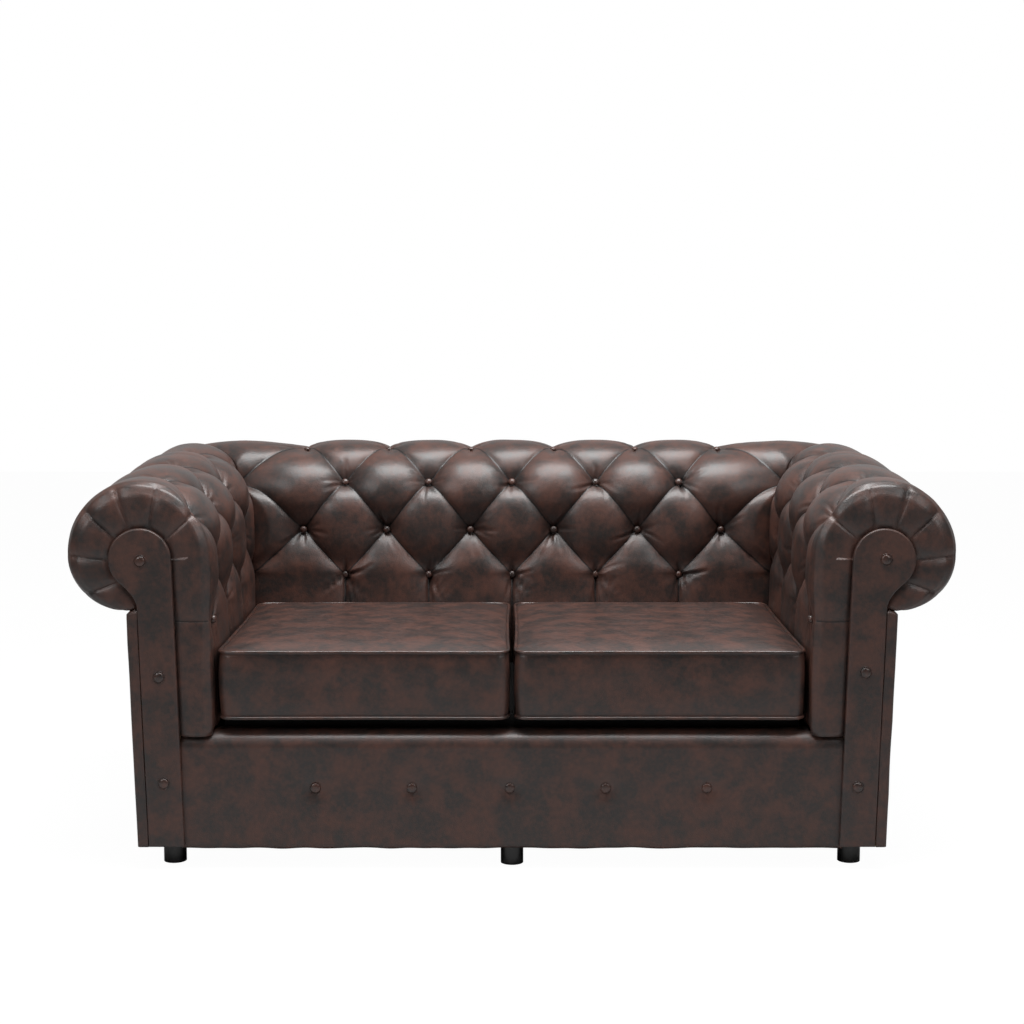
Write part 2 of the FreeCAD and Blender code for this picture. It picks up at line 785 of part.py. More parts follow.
def arm_cover_solid():
    """The right arm's cover and its wadding, from the front facing's edge to the mitre."""
    cover = Cover(arm_point, size("seat_depth"))
    column = size("button_column")
    pitch = size("arm_pitch")
    steps = roll_steps(ARM_TURNS, ARM_LIP_TURNS)
    depths = [column + pitch * number for number in range(3)]
    rim_sinks = (size("rim_button_sink"), size("rim_lower_button_sink"))
    first = even_line(
        column, 0, arm_bottom(column), steps, size("rim_pleat_sink"), rim_sinks, bulging=True
    )
    evens = [first]
    for depth in depths[1:]:
        evens.append(even_line(depth, arm_share(depth), arm_bottom(depth), steps))
    evens.append(even_line(MITRE, 1, arm_bottom(MITRE), steps, size("roll_pleat_sink")))
    for number, depth in enumerate(depths):
        between = depth + pitch / 2
        odd = odd_line(between, arm_share(between), arm_bottom(between), steps)
        cover.interval(evens[number], odd)
        cover.interval(evens[number + 1], odd)
    add_rim(cover, first)
    return closed_arm(cover.faces)


def closed_arm(quilting):
    """The arm's quilting closed by flat faces, and hollow where the foam lies."""
    edges = open_edges(quilting)
    far = seat_half + tack_out
    rear = seat_back + tack_out
    near = front + size("rim_depth")
    bottom = size("pad_bottom")
    tack_front = arm_middle(size("button_column")) - lip
    tack_back = back_middle - lip
    foot_x, _ = facing_edge(arm_bottom(size("button_column")))
    tack_corner = Vector(far, near, tack_front)
    low_front = Vector(far, near, bottom)
    low_rear = Vector(far, rear, bottom)
    inner_foot = Vector(foot_x, near, bottom)
    inner_corner_low = Vector(seat_half, seat_back, bottom)
    closings = (
        (SIDEWAYS, far, [tack_corner, low_front, low_rear, Vector(far, rear, tack_back)]),
        (Vector(0, 1, 0), near, [tack_corner, low_front, inner_foot]),
        (UP, bottom, [inner_foot, low_front, low_rear, inner_corner_low]),
        (
            Vector(1, -1, 0),
            seat_half - seat_back,
            [Vector(far, rear, tack_back), low_rear, inner_corner_low],
        ),
    )
    faces = [small_face(corners) for corners in quilting]
    faces += [closing_face(edges, *closing) for closing in closings]
    return closed_solid(faces).cut(core_prism("arm", near, seat_back + MITRE_REACH))


# Arms: posts, rails, bent boards, foam, covers, outer panels and facings.
def arm_layer(label, outer_offset, inner_offset):
    """A layer of the right arm's roll, from its front post back to the mitre."""
    length = f"seat_depth + {MITRE_REACH} - rim_depth"
    outline = roll_band(outer_offset, inner_offset, seat_half)
    whole = padded_outline(label + "_whole", "XZ_Plane", outline, f"{FRONT} + rim_depth", length)
    return joined("Part::Common", label + "_right", whole, arm_block)


def arm_frame():
    """The posts and rails of the right arm; the rear post is slotted for the base rail."""
    outline = rib_outline(seat_half)
    post_front = f"{FRONT} + rim_depth"
    rails_front = f"{post_front} + rib_thickness"
    post_rear = f"{FRONT} + rear_post_depth"
    keep_pair(
        "arm_front_post",
        padded_outline("arm_front_post_right", "XZ_Plane", outline, post_front, "rib_thickness"),
    )
    base_out = f"{ARM_INNER} + base_rail_out"
    base_rail = board(
        "arm_base_rail_right",
        (base_out, rails_front, "foot_height"),
        (
            f"{base_out} + rail_thickness",
            f"{FRONT} + seat_depth + base_rail_out + rail_thickness",
            "foot_height + rail_height",
        ),
    )
    keep_pair("arm_base_rail", base_rail)
    whole_post = padded_outline(
        "arm_rear_post_whole", "XZ_Plane", outline, post_rear, "rib_thickness"
    )
    keep_pair("arm_rear_post", joined("Part::Cut", "arm_rear_post_right", whole_post, base_rail))
    rail_middle = f"{ARM_INNER} + roll_radius"
    rail_bottom = f"{CORE_HEIGHT} + top_rail_rise"
    top_rail = board(
        "arm_top_rail_right",
        (f"{rail_middle} - top_rail_width / 2", rails_front, rail_bottom),
        (f"{rail_middle} + top_rail_width / 2", post_rear, f"{rail_bottom} + rib_thickness"),
    )
    keep_pair("arm_top_rail", top_rail)
    tack_rail_out = f"{ARM_INNER} + 2 * roll_radius - lip_radius - panel_inset - tack_rail_gap"
    tack_rail_top = "arm_roll_height - lip_radius"
    outer_rail = board(
        "arm_outer_rail_right",
        (f"{tack_rail_out} - rail_thickness", rails_front, f"{tack_rail_top} - tack_rail_height"),
        (tack_rail_out, post_rear, tack_rail_top),
    )
    keep_pair("arm_outer_rail", outer_rail)


def panel_x(height, gap=0):
    """The outer face of the arm's outer panel, gap further in."""
    top = size("arm_roll_height") - lip
    lean = size("panel_lean") * (top - height) / (top - size("panel_bottom"))
    return seat_half + tack_out - size("panel_inset") + size("panel_thickness") - lean - gap


def arm_outer_panel():
    """The padded board on the outer side of the right arm, with its strip beside the facing."""
    bottom = size("panel_bottom")
    high = back_middle
    low = arm_middle(0) - lip
    thick = size("panel_thickness")
    depth = f"seat_depth + 2 * roll_radius - lip_radius - panel_inset - return_depth"
    start = f"{FRONT} + return_depth"
    corners = [
        (panel_x(bottom), bottom),
        (panel_x(high), high),
        (panel_x(high, thick), high),
        (panel_x(bottom, thick), bottom),
        (panel_x(bottom), bottom),
    ]
    plate = padded_outline("arm_panel_plate", "XZ_Plane", polyline(corners), start, depth)
    gap = size("facing_gap")
    corners = [
        (facing_outer_x(bottom) + gap, bottom),
        (panel_x(bottom), bottom),
        (panel_x(low), low),
        (facing_outer_x(low) + gap, low),
        (facing_outer_x(bottom) + gap, bottom),
    ]
    strip_depth = "rim_depth - return_depth"
    strip = padded_outline("arm_panel_strip", "XZ_Plane", polyline(corners), start, strip_depth)
    both = joined("Part::Fuse", "arm_panel_with_strip", plate, strip)
    back_tack = back_middle - lip
    side_view = [
        (front, bottom),
        (front, low),
        (front + size("button_column"), arm_middle(size("button_column")) - lip),
        (seat_back, back_tack),
        (-front, back_tack),
        (-front, bottom),
        (front, bottom),
    ]
    under_tack_line = padded_outline(
        "arm_panel_side_view", "YZ_Plane", polyline(side_view), ARM_INNER, "2 * roll_radius"
    )
    return joined("Part::Common", "arm_outer_panel_right", both, under_tack_line)


def arm_facing():
    """The upholstered board on the front of the right arm: a round head on a straight strip."""
    bottom = size("panel_bottom")

    head_end = head_point(180 + NECK_TURN, 0)
    neck_end = (facing_outer_x(neck_z), neck_z)
    outline = polyline([(facing_inner_x(bottom), bottom), head_point(0, 0)])
    outline.append(arc_between(head_point(0, 0), head_point(90, 0), head_end))
    outline.append(neck_curve(0).toBSpline())
    outline += polyline(
        [neck_end, (facing_outer_x(bottom), bottom), (facing_inner_x(bottom), bottom)]
    )
    start = f"{FRONT} + rim_depth - facing_thickness"
    body = padded_outline("arm_facing_right", "XZ_Plane", outline, start, "facing_thickness")
    pad = body.Tip
    front_edges = [
        f"Edge{number}"
        for number, edge in enumerate(pad.Shape.Edges, start=1)
        if all(abs(corner.Point.y) < 0.01 for corner in edge.Vertexes)
    ]
    bevel = body.newObject("PartDesign::Chamfer", "arm_facing_bevel")
    bevel.Base = (pad, front_edges)
    bevel.setExpression("Size", formula("facing_bevel"))
    return body


arm_frame()
foam_start = size("cover_depth")
board_start = foam_start + size("foam_thickness")
keep_pair("arm_roll_board", arm_layer("arm_roll_board", board_start, core))
keep_pair("arm_foam", arm_layer("arm_foam", foam_start, board_start))
keep_pair("arm_tufted_cover", shaped("arm_tufted_cover_right", arm_cover_solid().Solids[0]))
keep_pair("arm_outer_panel", arm_outer_panel())
keep_pair("arm_facing", arm_facing())


# Back: four ribs notched for two rails, a bent board, foam, the cover and the outer panel.
def back_layer(label, outer_offset, inner_offset):
    """A layer of the back's roll, from mitre to mitre."""
    outline = roll_band(outer_offset, inner_offset, seat_back)
    reach = f"({ARM_INNER} + {MITRE_REACH})"
    whole = padded_outline(label + "_whole", "YZ_Plane", outline, f"0 - {reach}", f"2 * {reach}")
    return joined("Part::Common", label, whole, back_block)


def back_frame():
    """The back's rails and the group of ribs that they run through."""
    inner = f"{ARM_INNER} + {CORE}"
    middle = f"{FRONT} + seat_depth + roll_radius"
    bottom = f"{CORE_HEIGHT} + top_rail_rise"
    top_rail = board(
        "back_top_rail",
        (f"0 - ({inner})", f"{middle} - top_rail_width / 2", bottom),
        (inner, f"{middle} + top_rail_width / 2", f"{bottom} + rib_thickness"),
    )
    base_out = f"{ARM_INNER} + base_rail_out"
    rail_front = f"{FRONT} + seat_depth + base_rail_out"
    bottom_rail = board(
        "back_bottom_rail",
        (f"0 - ({base_out})", rail_front, "foot_height"),
        (base_out, f"{rail_front} + rail_thickness", "foot_height + rail_height"),
    )
    ribs = document.addObject("Part::Compound", "back_ribs_whole")
    places = ("0 - rib_spread", "0 - inner_rib_spread", "inner_rib_spread", "rib_spread")
    ribs.Links = [
        padded_outline(
            f"back_rib_{number}",
            "YZ_Plane",
            rib_outline(seat_back),
            f"{place} - rib_thickness / 2",
            "rib_thickness",
        )
        for number, place in enumerate(places, start=1)
    ]
    slotted = joined("Part::Cut", "back_ribs_slotted", ribs, top_rail)
    keep(joined("Part::Cut", "back_ribs", slotted, bottom_rail))
    keep(top_rail)
    keep(bottom_rail)


def back_outer_panel():
    """The padded board on the rear of the sofa."""
    bottom = size("panel_bottom")
    top = back_middle - lip
    corners = [
        (-panel_x(bottom), bottom),
        (panel_x(bottom), bottom),
        (panel_x(top), top),
        (-panel_x(top), top),
        (-panel_x(bottom), bottom),
    ]
    start = f"{FRONT} + seat_depth + 2 * roll_radius - lip_radius - panel_inset"
    return padded_outline(
        "back_outer_panel", "XZ_Plane", polyline(corners), start, "panel_thickness"
    )


back_frame()
keep(back_layer("back_roll_board", board_start, core))
keep(back_layer("back_foam", foam_start, board_start))
keep(shaped("back_tufted_cover", back_cover_solid().Solids[0]))
keep(back_outer_panel())


# Seat: rails, webbing, the deck and the padded front rail.
def strap_group(label, count, pitch_axis, pitch, low, high):
    """Parallel webbing straps, one pitch apart, centred on their first place."""
    straps = []
    for number in range(count):
        step = number - (count - 1) / 2
        shift = f"{step} * {pitch}"
        strap_low = [text if axis != pitch_axis else f"{text} + {shift}" for axis, text in zip("xyz", low)]
        strap_high = [text if axis != pitch_axis else f"{text} + {shift}" for axis, text in zip("xyz", high)]
        straps.append(board(f"{label}_{number + 1}", strap_low, strap_high))
    group = document.addObject("Part::Compound", label)
    group.Links = straps
    return keep(group)


def seat_frame():
    """The rails round the seat, the webbing over them and the deck on the webbing."""
    post_inner = f"{ARM_INNER} + {CORE}"
    rail_front = f"{FRONT} + rim_depth + rail_cover_thickness"
    rail_rear = f"{rail_front} + rail_thickness"
    rear_rail_rear = f"{FRONT} + seat_depth + {CORE}"
    webbing_top = "front_rail_top + 2 * webbing_thickness"
    keep(
        board(
            "front_rail",
            (f"0 - ({post_inner})", rail_front, "foot_height"),
            (post_inner, rail_rear, "front_rail_top"),
        )
    )
    keep(
        board(
            "seat_rear_rail",
            (f"0 - ({post_inner})", f"{rear_rail_rear} - rail_thickness", "front_rail_top / 2"),
            (post_inner, rear_rail_rear, "front_rail_top"),
        )
    )
    side_top = "front_rail_top + webbing_thickness"
    side_rail = board(
        "seat_side_rail_right",
        (f"{post_inner} - rail_thickness", rail_rear, f"{side_top} - side_rail_height"),
        (post_inner, f"{rear_rail_rear} - rail_thickness", side_top),
    )
    keep_pair("seat_side_rail", side_rail)
    strap_group(
        "seat_webbing_crosswise",
        CROSSWISE_STRAPS,
        "x",
        "webbing_pitch",
        ("0 - webbing_width / 2", f"{rail_rear} - rail_thickness / 2", "front_rail_top"),
        ("webbing_width / 2", f"{rear_rail_rear} - rail_thickness / 2", side_top),
    )
    behind_cover = "(rim_depth + rail_cover_depth)"
    middle = f"{FRONT} + ({behind_cover} + seat_depth) / 2"
    free_depth = f"(seat_depth - {behind_cover} - 2 * deck_clearance - webbing_width)"
    strap_group(
        "seat_webbing_lengthwise",
        LENGTHWISE_STRAPS,
        "y",
        f"{free_depth} / {LENGTHWISE_STRAPS - 1}",
        (
            f"rail_thickness / 2 - ({post_inner})",
            f"{middle} - webbing_width / 2",
            side_top,
        ),
        (f"{post_inner} - rail_thickness / 2", f"{middle} + webbing_width / 2", webbing_top),
    )
    keep(
        board(
            "seat_deck",
            (f"deck_clearance - {ARM_INNER}", f"{FRONT} + deck_front", webbing_top),
            (
                f"{ARM_INNER} - deck_clearance",
                f"{FRONT} + seat_depth - deck_clearance",
                "cushion_bottom - rest_gap",
            ),
        )
    )


def front_rail_cover():
    """The padding over the front rail, with a hollow round each of its buttons."""
    near = front + size("rim_depth")
    rail = near + size("rail_cover_thickness")
    far = near + size("rail_cover_depth")
    bottom = size("foot_height")
    top = size("rail_cover_top")
    under = size("front_rail_top") + size("webbing_thickness")
    rounding = size("rail_cover_round")
    tip = rounding * (1 - math.sqrt(0.5))
    outline = polyline([(near, bottom), (near, top - rounding)])
    outline.append(
        arc_between((near, top - rounding), (near + tip, top - tip), (near + rounding, top))
    )
    outline += polyline(
        [(near + rounding, top), (far, top), (far, under), (rail, under), (rail, bottom), (near, bottom)]
    )
    reach = f"({ARM_INNER} + {CORE} - rail_cover_gap)"
    padding = padded_outline(
        "front_rail_padding", "YZ_Plane", outline, f"0 - {reach}", f"2 * {reach}"
    )
    hollows = document.addObject("Part::Compound", "front_rail_hollows")
    hollows.Links = [rail_hollow(number) for number in RAIL_BUTTONS]
    return joined("Part::Cut", "front_rail_cover", padding, hollows)


def rail_hollow(number):
    """The ball whose cap is the hollow round one button of the front rail."""
    ball = document.addObject("Part::Sphere", f"rail_hollow_{number + 3}")
    ball.setExpression("Radius", formula("dimple_radius"))
    ball.setExpression("Placement.Base.x", formula(f"{number} * rail_button_pitch"))
    ball.setExpression(
        "Placement.Base.y", formula(f"{FRONT} + rim_depth + dimple_depth - dimple_radius")
    )
    ball.setExpression("Placement.Base.z", formula("rail_button_height"))
    return ball


CROSSWISE_STRAPS = 9
LENGTHWISE_STRAPS = 5
RAIL_BUTTONS = range(-2, 3)
seat_frame()
keep(front_rail_cover())


# Buttons: tufting buttons on shanks, and flat covered ones on the facings and the front rail.
BUTTON_SIDES = 8


def ring_of_spots(radius, height, count):
    """Spots round an upright axis."""
    turns = [2 * math.pi * number / count for number in range(count)]
    return [Vector(radius * math.cos(turn), radius * math.sin(turn), height) for turn in turns]


def faceted_button(profile, tip_height):
    """A button built up from rings of spots, each given as a radius and a height, and a tip."""
    rings = [ring_of_spots(radius, height, BUTTON_SIDES) for radius, height in profile]
    tip = Vector(0, 0, tip_height)
    faces = [small_face(rings[0])]
    for number in range(BUTTON_SIDES):
        after = (number + 1) % BUTTON_SIDES
        for low, high in zip(rings, rings[1:]):
            faces.append(small_face([low[number], low[after], high[after], high[number]]))
        faces.append(small_face([rings[-1][number], rings[-1][after], tip]))
    return closed_solid(faces)


def tufting_button():
    """A covered button on its shank, which stands on the origin."""
    depth = size("button_depth")
    dome = size("button_dome")
    wide = size("button_radius")
    profile = [(size("button_shank"), 0), (wide, depth), (wide * 0.75, depth + dome * 0.75)]
    return faceted_button(profile, depth + dome)


def flat_button():
    """A covered button with a low dome, its back on the origin."""
    wide = size("flat_button_radius")
    height = size("flat_button_height")
    profile = [(wide, 0), (wide, height * 0.4), (wide * 0.7, height * 0.8)]
    return faceted_button(profile, height)


def button_group(label, button, places):
    """Equal buttons as separate solids, each at a spot and facing a direction."""
    placed = []
    for spot, direction in places:
        copy = button.copy()
        copy.Placement = FreeCAD.Placement(spot, FreeCAD.Rotation(UP, direction))
        placed.append(copy)
    return shaped(label, Part.Compound(placed))


def outwards(reach):
    """How a pad's surface faces at a reach: along its section's out and up directions."""
    turn = max(0, reach) / roll
    return -math.cos(turn), math.sin(turn)


def arm_button_places():
    """The buttons of the right arm: the column beside the front rim, then the diamond rows."""
    column = size("button_column")
    pitch = size("arm_pitch")
    deep = size("diamond_sink")
    sinks = {0: (size("rim_button_sink"), size("rim_lower_button_sink"))}
    found = []
    for number in range(3):
        depth = column + pitch * number
        upper, lower = sinks.get(number, (deep, deep))
        between = depth + pitch / 2
        found += [
            (row_reach("upper", arm_share(depth)), depth, upper),
            (row_reach("lower", arm_share(depth)), depth, lower),
            (size("crest_row"), between, size("crest_sink")),
            (row_reach("middle", arm_share(between)), between, deep),
        ]
    places = []
    for reach, depth, sink in found:
        out, up = outwards(reach)
        lean = size("rim_button_tilt") if depth == column else 0
        places.append((arm_point(reach, depth, sink), Vector(out, -lean, up)))
    return places


def back_button_places():
    """The buttons of the back, with the pair in its rear corners."""
    pitch = size("back_pitch")
    deep = size("diamond_sink")
    upper = row_reach("upper", 1)
    found = []
    for number in range(-2, 3):
        found += [(upper, number * pitch, deep), (row_reach("lower", 1), number * pitch, deep)]
    for number in range(-3, 3):
        across = (number + 0.5) * pitch
        found.append((size("crest_row"), across, size("crest_sink")))
        found.append((row_reach("middle", 1), across, deep))
    places = []
    for reach, across, sink in found:
        out, up = outwards(reach)
        places.append((back_point(reach, across, sink), Vector(0, out, up)))
    out, up = outwards(upper)
    corner_out, corner_height = section_point(upper, back_middle, deep)
    for side in (1, -1):
        spot = Vector(side * (seat_half + corner_out), seat_back + corner_out, corner_height)
        places.append((spot, Vector(side * out, out, up * math.sqrt(2))))
    return places


def flat_button_places(spots, depth):
    return [(Vector(x, front + depth, height), Vector(0, -1, 0)) for x, height in spots]


def button_pieces():
    button = tufting_button()
    keep_pair("arm_buttons", button_group("arm_buttons_right", button, arm_button_places()))
    keep(button_group("back_buttons", button, back_button_places()))
    drop = size("facing_button_drop")
    spots = [(head_x, head_z)]
    for height in (head_z - drop, head_z - 2 * drop):
        spots.append((facing_inner_x(height) + size("facing_strip_width") / 2, height))
    places = flat_button_places(spots, size("rim_depth") - size("facing_thickness"))
    keep_pair("facing_buttons", button_group("facing_buttons_right", flat_button(), places))
    spots = [(number * size("rail_button_pitch"), size("rail_button_height")) for number in RAIL_BUTTONS]
    places = flat_button_places(spots, size("rim_depth") + size("dimple_depth"))
    keep(button_group("front_rail_buttons", flat_button(), places))


button_pieces()


# Feet: six, each held by a stud in a block of the frame, and the cloth between them.
def foot(label, across, depth):
    """A round foot with a hole from above for its stud."""
    whole = document.addObject("Part::Cylinder", label + "_whole")
    whole.setExpression("Radius", formula("foot_radius"))
    whole.setExpression("Height", formula("foot_height"))
    hole = document.addObject("Part::Cylinder", label + "_hole")
    hole.setExpression("Radius", formula("stud_radius"))
    hole.setExpression("Height", formula("stud_depth"))
    hole.setExpression("Placement.Base.z", formula("foot_height - stud_depth"))
    for piece in (whole, hole):
        piece.setExpression("Placement.Base.x", formula(across))
        piece.setExpression("Placement.Base.y", formula(f"{FRONT} + {depth}"))
    return keep(joined("Part::Cut", label, whole, hole))


def block(label, middle, start):
    """A block of the frame over a foot."""
    return board(
        label,
        (f"{middle} - block_width / 2", start, "foot_height"),
        (f"{middle} + block_width / 2", f"{start} + block_length", "foot_height + block_height"),
    )


def feet_and_blocks():
    across = {"left": "0 - foot_spread", "middle": "0", "right": "foot_spread"}
    block_middle = f"({ARM_INNER} + base_rail_out - block_width / 2)"
    block_across = {"left": f"0 - {block_middle}", "middle": "0", "right": block_middle}
    depths = {
        "left": "front_foot_depth",
        "middle": "middle_foot_depth",
        "right": "front_foot_depth",
    }
    rear_depth = "(seat_depth + base_rail_out - block_length / 2)"
    middle_of_rear_blocks = size("seat_depth") + size("base_rail_out") - size("block_length") / 2
    starts = {
        "front": f"{FRONT} + rim_depth + rail_cover_thickness + rail_thickness",
        "rear": f"{FRONT} + seat_depth + base_rail_out - block_length",
    }
    spots = []
    blocks = []
    spread = {"left": -size("foot_spread"), "middle": 0, "right": size("foot_spread")}
    for side in across:
        foot(f"foot_front_{side}", across[side], depths[side])
        foot(f"foot_rear_{side}", across[side], rear_depth)
        for end, depth in (("front", size(depths[side])), ("rear", middle_of_rear_blocks)):
            blocks.append(block(f"frame_block_{end}_{side}", block_across[side], starts[end]))
            spots.append(Vector(spread[side], front + depth, 0))
    stud_foot = Vector(0, 0, size("foot_height") - size("stud_depth"))
    studs = [
        Part.makeCylinder(size("stud_radius"), size("stud_length"), spot + stud_foot)
        for spot in spots
    ]
    stud_group = keep(shaped("foot_studs", Part.Compound(studs)))
    whole_blocks = document.addObject("Part::Compound", "frame_blocks_whole")
    whole_blocks.Links = blocks
    keep(joined("Part::Cut", "frame_blocks", whole_blocks, stud_group))
    return spots


def dust_cover(spots):
    """The black cloth stapled under the frame, with a hole for each foot."""
    near = front + size("rim_depth") + size("rail_cover_thickness")
    rear = seat_back + tack_out - size("panel_inset") - size("cloth_thickness")
    side = panel_x(size("panel_bottom"), size("panel_thickness") + size("cloth_thickness"))
    outline = polyline([(-side, near), (side, near), (side, rear), (-side, rear), (-side, near)])
    radius = (size("foot_radius") + size("cloth_thickness")) / math.cos(math.pi / HOLE_SIDES)
    for middle in spots:
        hole = [middle + spot for spot in ring_of_spots(radius, 0, HOLE_SIDES)]
        outline += polyline([(spot.x, spot.y) for spot in hole + hole[:1]])
    return padded_outline(
        "dust_cover", "XY_Plane", outline, "foot_height - cloth_thickness", "cloth_thickness"
    )


HOLE_SIDES = 12
keep(dust_cover(feet_and_blocks()))


# Seat cushions: a box-shaped leather cover with piped seams round a core, crowned on top.
cushion_left = size("cushion_gap") / 2
cushion_right = seat_half - size("cushion_clearance")
cushion_near = front + size("cushion_front")
cushion_far = seat_back - size("cushion_clearance")
CROWN_STEPS = 6
SIDE_STEPS = 2
CORNER_STEPS = 3
PIPING_SIDES = 6


def cushion_sides(inset):
    """The sides of a cushion in plan, each as a start, a bend and an end: sides drawn in, corners round."""
    left, right = cushion_left + inset, cushion_right - inset
    near, far = cushion_near + inset, cushion_far - inset
    radius = size("cushion_corner") - inset
    draw = size("cushion_draw")
    tip = radius * (1 - math.sqrt(0.5))
    across = (left + right) / 2
    along = (near + far) / 2
    return [
        ((left + radius, near), (across, near + draw), (right - radius, near)),
        ((right - radius, near), (right - tip, near + tip), (right, near + radius)),
        ((right, near + radius), (right - draw, along), (right, far - radius)),
        ((right, far - radius), (right - tip, far - tip), (right - radius, far)),
        ((right - radius, far), (across, far - draw), (left + radius, far)),
        ((left + radius, far), (left + tip, far - tip), (left, far - radius)),
        ((left, far - radius), (left + draw, along), (left, near + radius)),
        ((left, near + radius), (left + tip, near + tip), (left + radius, near)),
    ]


def crown_block(label, inset):
    """Everything under a cushion's crown, which rises from the seams to the middle."""
    seam = size("cushion_bottom") + size("cushion_height") - inset
    bottom = size("cushion_bottom") + inset

    def spot(column, line):
        across, along = column / CROWN_STEPS, line / CROWN_STEPS
        swell = (1 - (2 * across - 1) ** 4) * (1 - (2 * along - 1) ** 4)
        return Vector(
            cushion_left + (cushion_right - cushion_left) * across,
            cushion_near + (cushion_far - cushion_near) * along,
            seam + size("cushion_crown") * swell,
        )

    top = []
    for column in range(CROWN_STEPS):
        for line in range(CROWN_STEPS):
            here, right = spot(column, line), spot(column + 1, line)
            behind, far = spot(column, line + 1), spot(column + 1, line + 1)
            top += [(here, right, far), (here, far, behind)]
    edges = open_edges(top)
    corners = [
        (cushion_left, cushion_near),
        (cushion_right, cushion_near),
        (cushion_right, cushion_far),
        (cushion_left, cushion_far),
    ]
    low = [Vector(x, y, bottom) for x, y in corners]
    high = [Vector(x, y, seam) for x, y in corners]
    planes = (
        (Vector(0, 1, 0), cushion_near, 0),
        (SIDEWAYS, cushion_right, 1),
        (Vector(0, 1, 0), cushion_far, 2),
        (SIDEWAYS, cushion_left, 3),
    )
    faces = [small_face(three) for three in top] + [small_face(low)]
    for normal, level, number in planes:
        after = (number + 1) % len(corners)
        faces.append(
            closing_face(edges, normal, level, [high[number], low[number], low[after], high[after]])
        )
    return shaped(label, closed_solid(faces))


def cushion_solid(label, inset):
    """A cushion's form: its outline in plan, under its crown."""
    outline = [arc_between(*side) for side in cushion_sides(inset)]
    prism = padded_outline(
        label + "_prism",
        "XY_Plane",
        outline,
        f"cushion_bottom + {inset}",
        "cushion_height + cushion_crown",
    )
    return joined("Part::Common", label, prism, crown_block(label + "_crown", inset))


def piping_stations():
    """Spots round a cushion's seam, each with its direction outwards."""
    stations = []
    for place, (start, bend, end) in enumerate(cushion_sides(0)):
        side = arc_between(start, bend, end).toShape()
        first, last = side.ParameterRange
        steps = CORNER_STEPS if place % 2 else SIDE_STEPS
        for number in range(steps):
            parameter = first + (last - first) * number / steps
            stations.append((side.valueAt(parameter), side.tangentAt(parameter).cross(UP)))
    return stations


def piping_ring(height):
    """A cord in leather, laid along a seam and joined end to end."""
    radius = size("piping_radius")
    turns = [2 * math.pi * (number + 0.5) / PIPING_SIDES for number in range(PIPING_SIDES)]
    rings = []
    for spot, outward in piping_stations():
        middle = Vector(spot.x, spot.y, height)
        rings.append(
            [middle + outward * (radius * math.cos(turn)) + UP * (radius * math.sin(turn)) for turn in turns]
        )
    faces = []
    for here, there in zip(rings, rings[1:] + rings[:1]):
        for number in range(PIPING_SIDES):
            after = (number + 1) % PIPING_SIDES
            faces.append(small_face([here[number], here[after], there[after]]))
            faces.append(small_face([here[number], there[after], there[number]]))
    return closed_solid(faces)


def cushion_pieces():
    """The cover, the core and the piping of the right-hand cushion, and their twins on the left."""
    seam = size("cushion_bottom") + size("cushion_height")
    rings = [piping_ring(seam), piping_ring(size("cushion_bottom") + size("piping_radius"))]
    piping = shaped("cushion_piping_right", Part.Compound(rings))
    outer = cushion_solid("cushion_outer", 0)
    filling = cushion_solid("seat_cushion_core_right", size("cushion_leather"))
    hollow = joined("Part::Cut", "cushion_hollow", outer, filling)
    cover = joined("Part::Cut", "seat_cushion_cover_right", hollow, piping)
    keep_pair("seat_cushion_cover", cover)
    keep_pair("seat_cushion_core", filling)
    keep_pair("cushion_piping", piping)


cushion_pieces()


def checked_shape(piece):
    """A piece's shape, when it is sound."""
    shape = piece.Shape
    if "Invalid" in piece.State or "Error" in piece.State or shape.isNull() or not shape.isValid():
        raise ValueError(f"{piece.Label} is not a sound piece")
    return shape


document.recompute()
os.makedirs("parts", exist_ok=True)
for piece in ALL_PIECES:
    checked_shape(piece).exportStep(f"parts/{piece.Label}.step")
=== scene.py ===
import json
import math
import random

import bpy
import numpy as np
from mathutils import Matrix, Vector, noise


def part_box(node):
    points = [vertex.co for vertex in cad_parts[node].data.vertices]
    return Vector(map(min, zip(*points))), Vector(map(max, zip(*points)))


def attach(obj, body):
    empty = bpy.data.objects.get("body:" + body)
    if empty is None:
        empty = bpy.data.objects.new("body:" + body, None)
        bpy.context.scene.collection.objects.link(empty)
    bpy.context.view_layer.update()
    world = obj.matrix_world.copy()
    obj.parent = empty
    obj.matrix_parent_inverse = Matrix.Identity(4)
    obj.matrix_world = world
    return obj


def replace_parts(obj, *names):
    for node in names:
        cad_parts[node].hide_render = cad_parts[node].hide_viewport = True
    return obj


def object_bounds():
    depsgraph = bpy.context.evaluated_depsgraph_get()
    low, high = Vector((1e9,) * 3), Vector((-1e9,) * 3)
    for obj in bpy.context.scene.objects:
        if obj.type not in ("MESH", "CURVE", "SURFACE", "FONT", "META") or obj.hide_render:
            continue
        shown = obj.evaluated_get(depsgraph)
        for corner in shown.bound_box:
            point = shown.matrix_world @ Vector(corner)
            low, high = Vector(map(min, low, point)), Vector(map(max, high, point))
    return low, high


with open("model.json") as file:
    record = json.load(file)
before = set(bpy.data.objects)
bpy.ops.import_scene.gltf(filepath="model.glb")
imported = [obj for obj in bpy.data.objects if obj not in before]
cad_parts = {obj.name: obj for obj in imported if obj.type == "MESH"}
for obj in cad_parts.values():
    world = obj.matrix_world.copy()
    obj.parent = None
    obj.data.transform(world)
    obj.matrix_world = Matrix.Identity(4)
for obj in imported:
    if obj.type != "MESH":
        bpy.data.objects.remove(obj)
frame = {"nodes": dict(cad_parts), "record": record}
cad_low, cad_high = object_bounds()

bpy.ops.object.select_all(action="DESELECT")

